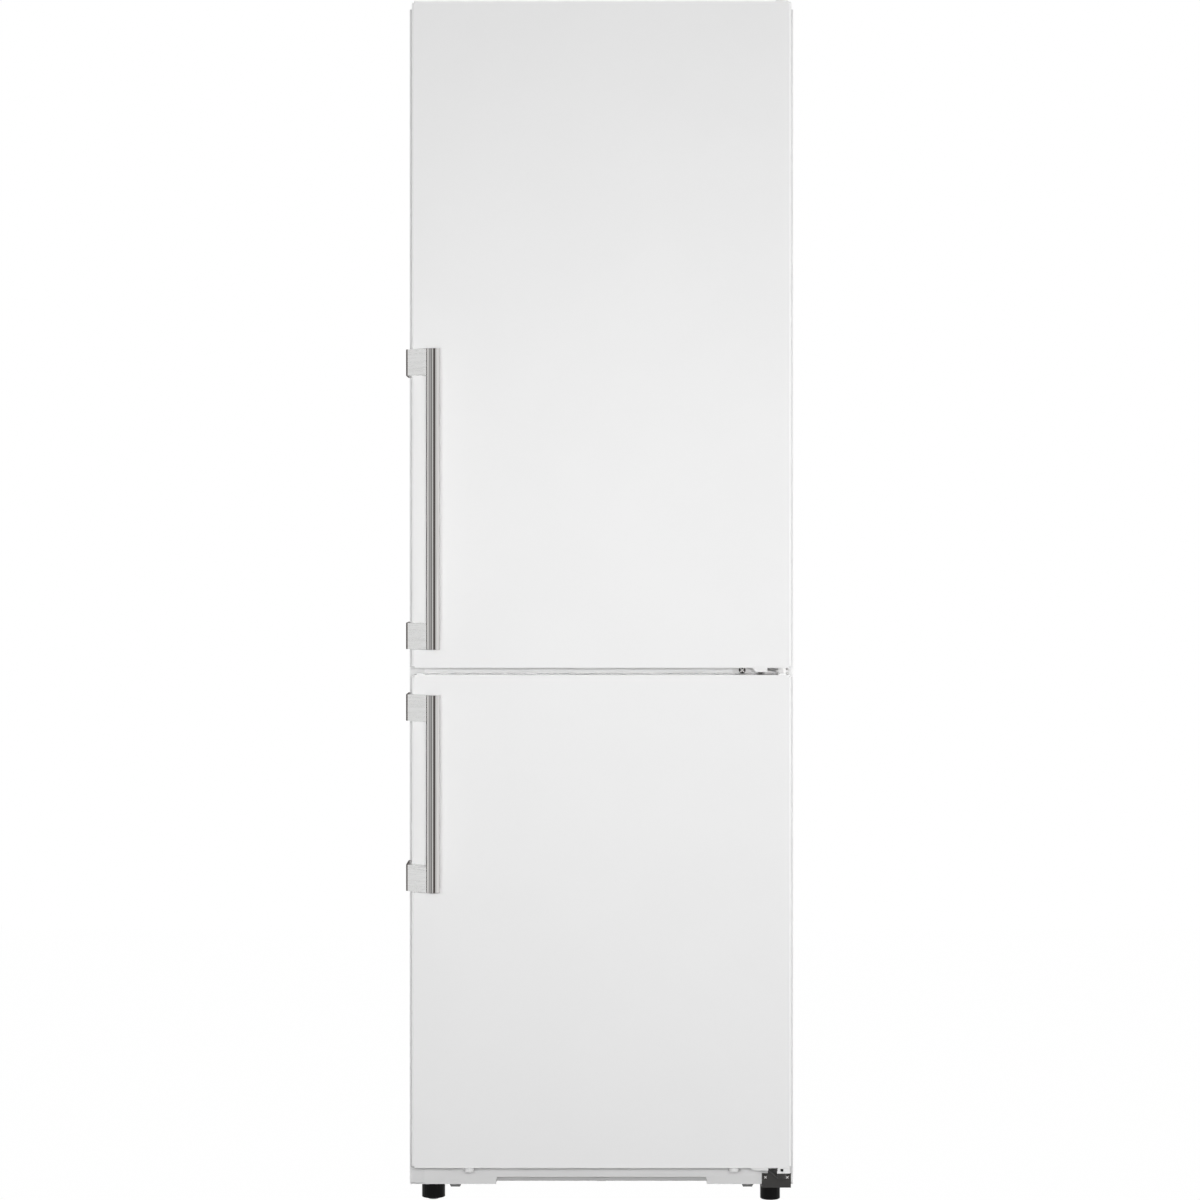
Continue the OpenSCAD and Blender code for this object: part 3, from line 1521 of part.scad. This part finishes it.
module freezer_door_end_caps() {
    pad_h = 2.4;
    pad_x = door_hw - 7.5;
    lug_x = 203;
    cam_h = door_bottom - cam_z;
    color("white") {
        translate([0, 0, freezer_door_z1]) {
            end_cap();
            both() front(y_door + 4, y_door + 12) polygon([
                [-pad_x, 0], [-pad_x + 13, 0], [-pad_x + 9, pad_h], [-pad_x, pad_h]
            ]);
        }
        translate([0, 0, door_bottom]) mirror([0, 0, 1]) {
            end_cap();
            difference() {
                front(hinge_y - 8, hinge_y + 8) polygon([
                    [hinge_x - 5.5, 0], [hinge_x - 7.5, cam_h],
                    [door_hw - 1, cam_h], [door_hw - 1, 0]
                ]);
                rod_z([hinge_x, hinge_y, -cut], pin_d / 2 + pin_fit, cam_h + 2 * cut);
                block([hinge_x - 2.2, hinge_y - 8 - cut, 4.2], [hinge_x + 2.2, hinge_y, 8.4]);
            }
            both() rod_z([lug_x, hinge_y, 0], 7.5, 9);
            stop_lug(hinge_x - 50, hinge_x - 21, 6.5);
            rod_z([-235, hinge_y, 0], 3, 2);
        }
    }
}

module freezer_door_gasket() {
    gasket(door_bottom, freezer_door_z1);
}

freezer_handle_z1 = freezer_door_z1 - handle_gap;
module freezer_handle_bar() {
    handle_bar(freezer_handle_z1 - freezer_handle_h, freezer_handle_z1);
}

module freezer_handle_mounts() {
    handle_mounts(freezer_handle_z1 - freezer_handle_h, freezer_handle_z1);
}

side_panel_left();
side_panel_right();
top_panel();
back_panel();
base_pan();
cabinet_foam();
fridge_liner();
freezer_liner();
mullion_cover();
glass_shelves();
shelf_trims();
crisper_cover();
air_duct();
control_housing();
lamp_lens();
evaporator();
evaporator_cover();
fan_motor();
drain_tube();
freezer_shelves();
compressor();
compressor_tray();
compressor_mounts();
drip_tray();
condenser();
refrigerant_pipes();
power_inlet();
top_hinge();
middle_hinge();
bottom_hinge();
hinge_cover();
hinge_screws();
crisper_drawer();
humidity_slider();
temperature_knob();
evaporator_fan();
freezer_drawer_upper();
freezer_drawer_middle();
freezer_drawer_lower();
front_foot_left();
front_foot_right();
rear_roller_left();
rear_roller_right();
fridge_door_skin();
fridge_door_liner();
fridge_door_foam();
fridge_door_end_caps();
fridge_door_gasket();
fridge_handle_bar();
fridge_handle_mounts();
dairy_bin();
dairy_lid();
door_bins();
freezer_door_skin();
freezer_door_liner();
freezer_door_foam();
freezer_door_end_caps();
freezer_door_gasket();
freezer_handle_bar();
freezer_handle_mounts();
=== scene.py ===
import json
import math

import bmesh
import bpy
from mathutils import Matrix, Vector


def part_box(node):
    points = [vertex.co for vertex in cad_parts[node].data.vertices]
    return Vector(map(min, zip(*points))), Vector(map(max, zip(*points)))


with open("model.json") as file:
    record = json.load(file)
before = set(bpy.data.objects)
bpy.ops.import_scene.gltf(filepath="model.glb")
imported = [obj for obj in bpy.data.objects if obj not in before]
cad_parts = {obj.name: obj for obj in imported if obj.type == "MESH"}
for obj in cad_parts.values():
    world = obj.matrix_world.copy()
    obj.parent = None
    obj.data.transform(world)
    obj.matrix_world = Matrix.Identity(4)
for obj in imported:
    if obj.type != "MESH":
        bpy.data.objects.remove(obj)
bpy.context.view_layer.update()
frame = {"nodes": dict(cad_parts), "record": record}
nodes = frame["nodes"]
print("frame loaded:", len(nodes), "nodes")


class Wire:
    # an output socket that can stand in a sum, such as 1 - mask * 0.5
    def __init__(self, board, socket):
        self.board = board
        self.socket = socket

    def __add__(self, other):
        return self.board.sum("ADD", self, other)

    def __radd__(self, other):
        return self.board.sum("ADD", other, self)

    def __sub__(self, other):
        return self.board.sum("SUBTRACT", self, other)

    def __rsub__(self, other):
        return self.board.sum("SUBTRACT", other, self)

    def __mul__(self, other):
        return self.board.sum("MULTIPLY", self, other)

    def atLeast(self, other):
        return self.board.sum("MAXIMUM", self, other)

    def size(self):
        return self.board.sum("ABSOLUTE", self, 0)

    def over(self, low, high):
        # 0 below low, 1 above high and a smooth way between them
        return self.board.add(
            "ShaderNodeMapRange", {"interpolation_type": "SMOOTHSTEP"},
            {"Value": self, "From Min": low, "From Max": high})

    def between(self, rise, fall):
        # 0 before the rise, 1 from the rise to the fall and 0 after it
        return self.over(*rise) * (1 - self.over(*fall))


class NodeBoard:
    # the node tree of a material or of the world
    def __init__(self, owner):
        owner.use_nodes = True
        self.tree = owner.node_tree
        self.tree.nodes.clear()

    def add(self, kind, settings=None, inputs=None, output=0):
        node = self.tree.nodes.new(kind)
        for name, value in (settings or {}).items():
            setattr(node, name, value)
        for key, value in (inputs or {}).items():
            if isinstance(value, Wire):
                self.tree.links.new(value.socket, node.inputs[key])
            else:
                node.inputs[key].default_value = value
        return Wire(self, node.outputs[output]) if node.outputs else None

    def sum(self, operation, first, second):
        return self.add("ShaderNodeMath", {"operation": operation}, {0: first, 1: second})

    def ramp(self, mask, stops):
        # greys at places from 0 to 1, with a straight way between them
        node = self.add("ShaderNodeValToRGB", inputs={0: mask})
        band = node.socket.node.color_ramp
        for place, grey in stops.items():
            stop = band.elements.new(place)
            stop.color = (grey, grey, grey, 1)
        band.elements.remove(band.elements[0])
        band.elements.remove(band.elements[-1])
        return node

    def blendColours(self, mask, *pair):
        first, second = [c if isinstance(c, Wire) else (*c, 1) for c in pair]
        return self.add("ShaderNodeMix", {"data_type": "RGBA"},
                        {0: mask, 6: first, 7: second}, output=2)

    def place(self, kind="Object"):
        # three wires: how far to the right, away from the camera and up, in metres
        node = self.add("ShaderNodeSeparateXYZ",
                        inputs={0: self.add("ShaderNodeTexCoord", output=kind)})
        return [Wire(self, way) for way in node.socket.node.outputs]

    def stretched(self, scales):
        # object coordinates with each direction at its own scale
        place = self.add("ShaderNodeTexCoord", output="Object")
        return self.add("ShaderNodeVectorMath", {"operation": "MULTIPLY"},
                        {0: place, 1: scales})

    def noise(self, *perMetre, detail=2.0, roughness=0.5):
        # one scale for all directions, or three
        scales = perMetre * 3 if len(perMetre) == 1 else perMetre
        return self.add("ShaderNodeTexNoise", inputs={
            "Vector": self.stretched(scales), "Scale": 1.0,
            "Detail": detail, "Roughness": roughness})

    def cells(self, perMetre, output="Distance"):
        return self.add("ShaderNodeTexVoronoi", inputs={
            "Vector": self.stretched((perMetre,) * 3), "Scale": 1.0}, output=output)


# Patterns: each gives a mask for colour and sheen, and a height for the bump.
# The first numbers of a noise or of cells are how often they change in a metre.
fineShare = 0.6
flakeShare = 0.7


def orangePeel(board):
    return board.noise(7), board.noise(420, detail=1)


def mouldGrain(board):
    fine = board.cells(1300)
    broad = board.noise(25, detail=3)
    return broad, fine * fineShare + board.noise(500) * (1 - fineShare)


def satinSheet(board):
    return board.noise(5), board.noise(150, detail=3)


def brushedUp(board):
    lines = board.noise(2200, 2200, 9, detail=4, roughness=0.7)
    return lines, lines


def brushedAcross(board):
    lines = board.noise(14, 14, 420, detail=5, roughness=0.72)
    return lines, lines


def zincSpangle(board):
    flakes = board.add("ShaderNodeSeparateColor", inputs={0: board.cells(110, "Color")})
    clouds = board.noise(30, detail=4)
    return flakes * flakeShare + clouds * (1 - flakeShare), board.noise(300, detail=3)


def softSkin(board):
    return board.noise(60, detail=3), board.noise(900)


def pores(board):
    return board.noise(90, detail=3), board.cells(320)


def clearSheet(board):
    return board.noise(12), board.noise(35, detail=1)


def tarnish(board):
    return board.noise(40, detail=5, roughness=0.65), board.noise(700)


# Masks for what differs inside one node: painted shade, painted dark reflections, and
# the screws' dark heads with painted glints. Each pair of metres is where a mask starts
# to change and where it is done.
# Where the painted shade under the base pan starts and ends, and what share of it the
# recess plate gets
beadTop = (0.0276, 0.0281)
plateFront = (-0.216, -0.21)
plateBack = (-0.195, -0.19)
plateTop = (0.0385, 0.0392)
plateShade = 0.4
# A pair of screws: its middle, half the span between the two, their height, half the
# width of the arms of the bright cross, which is a painted glint, and the square of how far
# the arms reach
lowScrews = dict(middle=0.271, half=0.017, height=0.0395, arm=0.0007, reach=0.000005)
midScrews = dict(middle=0.232, half=0.014, height=0.8255, arm=0.0012, reach=0.000013)
armBlur = 0.0003
reachBlur = 1.5
# the heights that part the lower pair from the middle pair, and that from the top
lowTop = (0.1, 0.2)
midBottom = (0.6, 0.7)
midTop = (0.9, 1.0)
# where the painted dark reflections on the left edges of the bars and of the mounts start
# and end
barEdgeStart, barEdgeEnd = (-0.26495, -0.2648), (-0.2638, -0.2634)
mountEdgeStart, mountEdgeEnd = (-0.29745, -0.2973), (-0.2952, -0.2948)


def paintedPanShade(board):
    # painted shade: full on the pressed beads below the pan itself,
    # and partly on the plate in the toe recess
    _, away, up = board.place()
    plate = away.between(plateFront, plateBack) * (1 - up.over(*plateTop))
    return (1 - up.over(*beadTop)).atLeast(plate * plateShade)


def darkScrewsAndPaintedGlints(board):
    # the lower and middle screws are dark, but for a bright cross in each head, which is a
    # painted glint
    right, _, up = board.place()

    def dark(middle, half, height, arm, reach):
        beside = ((right - middle).size() - half).size()
        above = (up - height).size()
        arms = (beside - above).size().over(arm, arm + armBlur)
        apart = beside * beside + above * above
        return arms.atLeast(apart.over(reach, reach * reachBlur))

    low = dark(**lowScrews) * (1 - up.over(*lowTop))
    return low.atLeast(dark(**midScrews) * up.between(midBottom, midTop))


def barEdgePaintedReflection(board):
    # a painted dark reflection on the eased left edge of the bars, darker than the brushed
    # face
    right, _, _ = board.place()
    return right.between(barEdgeStart, barEdgeEnd)


def mountEdgePaintedReflection(board):
    # a painted dark reflection on the eased left edge of the handle mounts
    right, _, _ = board.place()
    return right.between(mountEdgeStart, mountEdgeEnd)


# what a finish has unless it says otherwise
plainFinish = dict(metal=0.0, specular=0.5, clear=0.0, bend=1.45)
# the part of a pattern's mask that is spread over the whole blend
evenSpan = (0.35, 0.65)
# Finishes: two colours that the pattern blends, the sheen and how far it varies,
# and the bump's height in metres. An inset mask lays its own colour and metal over the
# blend: painted shade, painted dark reflections, or dark screws with painted glints.
finishes = {
    "doorEnamel": dict(
        pattern=orangePeel, low=(0.872, 0.872, 0.872), high=(0.878, 0.878, 0.878),
        sheen=0.42, vary=0.03, height=0.000012),
    "cabinetEnamel": dict(
        pattern=orangePeel, low=(0.795, 0.795, 0.795), high=(0.81, 0.81, 0.81),
        sheen=0.45, vary=0.06, height=0.00002),
    "backSheet": dict(
        pattern=zincSpangle, low=(0.65, 0.66, 0.67), high=(0.74, 0.75, 0.76),
        sheen=0.38, vary=0.16, height=0.00002, metal=0.75),
    "liner": dict(
        pattern=satinSheet, low=(0.86, 0.864, 0.868), high=(0.88, 0.884, 0.888),
        sheen=0.32, vary=0.03, height=0.00002),
    "whitePlastic": dict(
        pattern=mouldGrain, low=(0.8, 0.8, 0.795), high=(0.85, 0.85, 0.845),
        sheen=0.5, vary=0.08, height=0.00001),
    "gasketRubber": dict(
        pattern=softSkin, low=(0.76, 0.76, 0.75), high=(0.82, 0.82, 0.81),
        sheen=0.6, vary=0.1, height=0.00002),
    # the bars, with a painted dark reflection along their left edge
    "handleSteel": dict(
        pattern=brushedUp, low=(0.5, 0.49, 0.48), high=(0.62, 0.61, 0.6),
        sheen=0.045, vary=0.03, height=0.0000015, metal=1.0,
        inset=barEdgePaintedReflection, insetColour=(0.09, 0.07, 0.06), insetMetal=1.0),
    # the handle mounts, with a painted dark reflection along their left edge
    "mountSteel": dict(
        pattern=brushedAcross, low=(0.62, 0.62, 0.615), high=(0.76, 0.76, 0.755),
        sheen=0.3, vary=0.14, height=0.000006, metal=1.0,
        inset=mountEdgePaintedReflection, insetColour=(0.11, 0.09, 0.08), insetMetal=1.0),
    "shelfGlass": dict(
        pattern=clearSheet, low=(0.82, 0.94, 0.91), high=(0.86, 0.97, 0.94),
        sheen=0.02, vary=0.02, height=0.00001, clear=0.95, bend=1.5),
    "clearPlastic": dict(
        pattern=clearSheet, low=(0.88, 0.92, 0.945), high=(0.92, 0.955, 0.98),
        sheen=0.14, vary=0.06, height=0.00004, clear=0.62, bend=1.2),
    "bluePlastic": dict(
        pattern=mouldGrain, low=(0.34, 0.46, 0.58), high=(0.4, 0.52, 0.64),
        sheen=0.35, vary=0.06, height=0.000006),
    "lampDiffuser": dict(
        pattern=clearSheet, low=(0.92, 0.91, 0.87), high=(0.96, 0.95, 0.92),
        sheen=0.5, vary=0.05, height=0.00003, clear=0.35),
    "finAluminium": dict(
        pattern=tarnish, low=(0.62, 0.63, 0.64), high=(0.78, 0.79, 0.8),
        sheen=0.3, vary=0.15, height=0.00001, metal=1.0),
    "darkPlastic": dict(
        pattern=mouldGrain, low=(0.012, 0.012, 0.012), high=(0.03, 0.029, 0.028),
        sheen=0.5, vary=0.15, height=0.00003),
    "motorSteel": dict(
        pattern=zincSpangle, low=(0.3, 0.31, 0.32), high=(0.42, 0.43, 0.44),
        sheen=0.35, vary=0.12, height=0.00001, metal=0.85),
    "compressorPaint": dict(
        pattern=orangePeel, low=(0.01, 0.01, 0.011), high=(0.02, 0.02, 0.021),
        sheen=0.3, vary=0.12, height=0.00004),
    "zincSteel": dict(
        pattern=zincSpangle, low=(0.5, 0.51, 0.51), high=(0.64, 0.65, 0.65),
        sheen=0.35, vary=0.15, height=0.00002, metal=0.6),
    "mountRubber": dict(
        pattern=softSkin, low=(0.015, 0.015, 0.015), high=(0.03, 0.03, 0.03),
        sheen=0.65, vary=0.12, height=0.00004),
    "condenserPaint": dict(
        pattern=orangePeel, low=(0.014, 0.014, 0.014), high=(0.026, 0.026, 0.026),
        sheen=0.42, vary=0.12, height=0.00002),
    "copper": dict(
        pattern=tarnish, low=(0.55, 0.25, 0.14), high=(0.85, 0.5, 0.34),
        sheen=0.25, vary=0.25, height=0.000008, metal=1.0),
    "capPlastic": dict(
        pattern=satinSheet, low=(0.88, 0.88, 0.88), high=(0.9, 0.9, 0.895),
        sheen=0.1, vary=0.04, height=0.000004),
    # the mullion cover in the gap between the doors: paler than the cabinet enamel, as
    # painted light in the shaded gap
    "gapSheetPaintedLight": dict(
        pattern=satinSheet, low=(0.9, 0.9, 0.9), high=(0.91, 0.91, 0.91),
        sheen=0.35, vary=0.05, height=0.00001),
    # the base pan's enamel, with painted shade laid over its beads and its toe recess plate
    "panEnamel": dict(
        pattern=orangePeel, low=(0.825, 0.825, 0.825), high=(0.845, 0.845, 0.845),
        sheen=0.45, vary=0.06, height=0.00002,
        inset=paintedPanShade, insetColour=(0.15, 0.15, 0.15), insetMetal=0.0),
    "footPlastic": dict(
        pattern=mouldGrain, low=(0.004, 0.004, 0.004), high=(0.009, 0.0085, 0.008),
        sheen=0.34, vary=0.1, height=0.00001, specular=0.1),
    "hingeZinc": dict(
        pattern=brushedAcross, low=(0.76, 0.755, 0.75), high=(0.86, 0.855, 0.85),
        sheen=0.4, vary=0.12, height=0.00001, metal=0.1),
    "hingeDark": dict(
        pattern=mouldGrain, low=(0.03, 0.029, 0.028), high=(0.045, 0.044, 0.042),
        sheen=0.45, vary=0.12, height=0.00002, metal=0.2),
    # bright steel, dark on the lower and middle screws but for a painted glint in each head
    "screwSteel": dict(
        pattern=tarnish, low=(0.78, 0.77, 0.76), high=(0.9, 0.89, 0.88),
        sheen=0.25, vary=0.15, height=0.000004, metal=0.2,
        inset=darkScrewsAndPaintedGlints, insetColour=(0.045, 0.04, 0.037), insetMetal=0.2),
    "foam": dict(
        pattern=pores, low=(0.72, 0.6, 0.34), high=(0.86, 0.76, 0.5),
        sheen=0.85, vary=0.1, height=0.0004),
}


def makeFinish(name, own):
    facts = {**plainFinish, **own}
    material = bpy.data.materials.new(name)
    board = NodeBoard(material)
    mask, height = facts["pattern"](board)
    even = mask.over(*evenSpan)
    bump = board.add("ShaderNodeBump", inputs={
        "Strength": 1.0, "Distance": facts["height"], "Height": height})
    colour = board.blendColours(even, facts["low"], facts["high"])
    metal = facts["metal"]
    if "inset" in facts:
        inset = facts["inset"](board)
        colour = board.blendColours(inset, colour, facts["insetColour"])
        if facts["insetMetal"] != metal:
            metal = metal + inset * (facts["insetMetal"] - metal)
    surface = board.add("ShaderNodeBsdfPrincipled", inputs={
        "Base Color": colour,
        "Roughness": facts["sheen"] + (even - 0.5) * facts["vary"],
        "Metallic": metal,
        "Specular IOR Level": facts["specular"],
        "Transmission Weight": facts["clear"],
        "IOR": facts["bend"],
        "Normal": bump})
    board.add("ShaderNodeOutputMaterial", inputs={"Surface": surface})
    return material


materials = {name: makeFinish(name, own) for name, own in finishes.items()}
print("finishes made:", len(materials))

# Which finish each of the record's slots gets
slotFinish = {
    "door_steel": "doorEnamel", "cabinet_steel": "cabinetEnamel",
    "back_steel": "backSheet", "foam": "foam", "liner": "liner",
    "white_plastic": "whitePlastic", "gasket_rubber": "gasketRubber",
    "handle_steel": "handleSteel", "mount_steel": "mountSteel",
    "shelf_glass": "shelfGlass", "clear_plastic": "clearPlastic",
    "blue_plastic": "bluePlastic", "lamp_plastic": "lampDiffuser",
    "fin_aluminium": "finAluminium", "dark_plastic": "darkPlastic",
    "motor_steel": "motorSteel", "compressor_paint": "compressorPaint",
    "zinc_steel": "zincSteel", "mount_rubber": "mountRubber",
    "condenser_paint": "condenserPaint", "copper": "copper",
    "hinge_zinc": "hingeZinc", "hinge_dark": "hingeDark", "screw_steel": "screwSteel",
}
# and the nodes that have a finish of their own
nodeFinish = {
    "fridge_door_end_caps": "capPlastic", "freezer_door_end_caps": "capPlastic",
    "mullion_cover": "gapSheetPaintedLight", "base_pan": "panEnamel",
    "front_foot_left": "footPlastic", "front_foot_right": "footPlastic",
}
for part in frame["record"]["subparts"]:
    piece = nodes[part["node"]]
    finish = nodeFinish.get(part["node"], slotFinish[part["material_slot"]])
    for place in piece.material_slots:
        place.material = materials[finish]


# Studio: floor, world, lamps and camera
floorFacts = dict(half=3.0, colour=(0.2, 0.2, 0.2), glow=0.996)
# ambient is the light from all round, and overhead is what is added to it higher up.
# The bands are what metal mirrors, by direction: degrees from straight ahead, with
# plus to the right. Dark bands take the tint.
worldFacts = dict(
    ambient=0.08, overhead=0.22, overheadSpan=(0.0, 0.7),
    darkTint=(1, 0.89, 0.83), tintSpan=(0.05, 0.45),
    bands={
        -180: 0.12, -112: 0.12, -100: 0.5, -94: 1.0, -74: 1.1, -62: 1.25, -56: 0.9,
        -46: 0.5, -36: 0.48, -28: 0.62, -23: 0.5, -19: 0.28, -14: 0.3, -10: 1.0, -3: 1.1,
        0: 0.2, 4: 0.1, 16: 0.12, 20: 0.25, 26: 0.9, 36: 1.06, 50: 1.18, 66: 1.15,
        90: 1.0, 130: 0.9, 180: 0.12})
# degrees, with a lamp at tilt 90 and heading 0 facing away from the camera
plainLamp = dict(tilt=90, heading=0, spread=180)
lampFacts = {
    "frontLamp": dict(place=(0, -4.4, 1.05), size=(0.8, 0.36), watts=42.6, spread=112),
    "lowLamp": dict(place=(0, -2.7, 0.14), size=(0.6, 0.15), watts=1),
    "rightLamp": dict(place=(2.6, -1.3, 1.2), heading=64, size=(1.2, 2.4), watts=19),
    "leftLamp": dict(place=(-2.6, -1.3, 1.2), heading=-64, size=(1.2, 2.4), watts=1.5),
    "topLamp": dict(place=(0, 0.3, 4.2), tilt=0, size=(2.5, 2.5), watts=40),
    "rightSideLamp": dict(place=(3.2, 0.6, 1.0), heading=90, size=(1.5, 1.5), watts=50),
    "leftSideLamp": dict(place=(-3.2, 0.6, 1.0), heading=-90, size=(1.5, 1.5), watts=50),
    "backLamp": dict(place=(0, 3.6, 1.0), heading=180, size=(1.5, 1.5), watts=80),
}
cameraFacts = dict(distance=4.5, height=1.027, tilt=90, lens=88.5, sensor=36,
                   shiftX=-0.00125, shiftY=-0.05, sight=200)
fullTurn = 360


def isSeen(board):
    # 1 for rays from the camera, off a gloss or through glass
    camera = board.add("ShaderNodeLightPath", output="Is Camera Ray")
    gloss = board.add("ShaderNodeLightPath", output="Is Glossy Ray")
    through = board.add("ShaderNodeLightPath", output="Is Transmission Ray")
    return camera.atLeast(gloss).atLeast(through)


def bandedSky(board, bands):
    # pale screens and grey flags round the object, for what its metal mirrors
    right, away, _ = board.place("Generated")
    turn = board.sum("ARCTAN2", right, away * -1) * (0.5 / math.pi) + 0.5
    stops = {(degrees + fullTurn / 2) / fullTurn: grey for degrees, grey in bands.items()}
    return board.ramp(turn, stops)


def makeFloor(facts):
    # white where it is seen, and grey for the light that it throws back
    shape = bmesh.new()
    bmesh.ops.create_grid(shape, x_segments=1, y_segments=1, size=facts["half"])
    mesh = bpy.data.meshes.new("studioFloor")
    shape.to_mesh(mesh)
    shape.free()
    floor = bpy.data.objects.new("studioFloor", mesh)
    bpy.context.scene.collection.objects.link(floor)
    material = bpy.data.materials.new("studioFloor")
    board = NodeBoard(material)
    dull = board.add("ShaderNodeBsdfDiffuse", inputs={"Color": (*facts["colour"], 1)})
    glow = board.add("ShaderNodeEmission", inputs={"Color": (1, 1, 1, 1), "Strength": 1.0})
    both = board.add("ShaderNodeMixShader", inputs={
        0: isSeen(board) * facts["glow"], 1: dull, 2: glow})
    board.add("ShaderNodeOutputMaterial", inputs={"Surface": both})
    mesh.materials.append(material)


def makeWorld(facts):
    world = bpy.data.worlds.new("studioWorld")
    bpy.context.scene.world = world
    board = NodeBoard(world)
    seen = isSeen(board)
    _, _, up = board.place("Generated")
    plain = facts["ambient"] + up.over(*facts["overheadSpan"]) * facts["overhead"]
    strength = plain + seen * (1 - plain)
    gloss = board.add("ShaderNodeLightPath", output="Is Glossy Ray")
    mirrored = gloss * (bandedSky(board, facts["bands"]) - 1) + 1
    tint = board.blendColours(
        mirrored.over(*facts["tintSpan"]), facts["darkTint"], (1, 1, 1))
    sky = board.add("ShaderNodeBackground", inputs={
        "Color": tint, "Strength": strength * mirrored})
    board.add("ShaderNodeOutputWorld", inputs={"Surface": sky})
    # each ray finds the sky by itself, so a mirrored ray gets the mirrored sky
    world.cycles.sampling_method = "NONE"


def makeLamp(name, own):
    facts = {**plainLamp, **own}
    lamp = bpy.data.lights.new(name, "AREA")
    lamp.shape = "RECTANGLE"
    lamp.size, lamp.size_y = facts["size"]
    lamp.energy = facts["watts"]
    lamp.spread = math.radians(facts["spread"])
    holder = bpy.data.objects.new(name, lamp)
    holder.location = facts["place"]
    holder.rotation_euler = (math.radians(facts["tilt"]), 0, math.radians(facts["heading"]))
    holder.visible_glossy = False
    bpy.context.scene.collection.objects.link(holder)


def makeCamera(facts):
    lens = bpy.data.cameras.new("photoCamera")
    lens.lens = facts["lens"]
    lens.sensor_width = facts["sensor"]
    lens.shift_x = facts["shiftX"]
    lens.shift_y = facts["shiftY"]
    lens.clip_end = facts["sight"]
    camera = bpy.data.objects.new("photoCamera", lens)
    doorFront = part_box("fridge_door_skin")[0].y
    camera.location = (0, doorFront - facts["distance"], facts["height"])
    camera.rotation_euler = (math.radians(facts["tilt"]), 0, 0)
    bpy.context.scene.collection.objects.link(camera)
    bpy.context.scene.camera = camera


makeFloor(floorFacts)
makeWorld(worldFacts)
for name, own in lampFacts.items():
    makeLamp(name, own)
makeCamera(cameraFacts)
bpy.context.scene.view_settings.view_transform = "Standard"
print("studio ready")
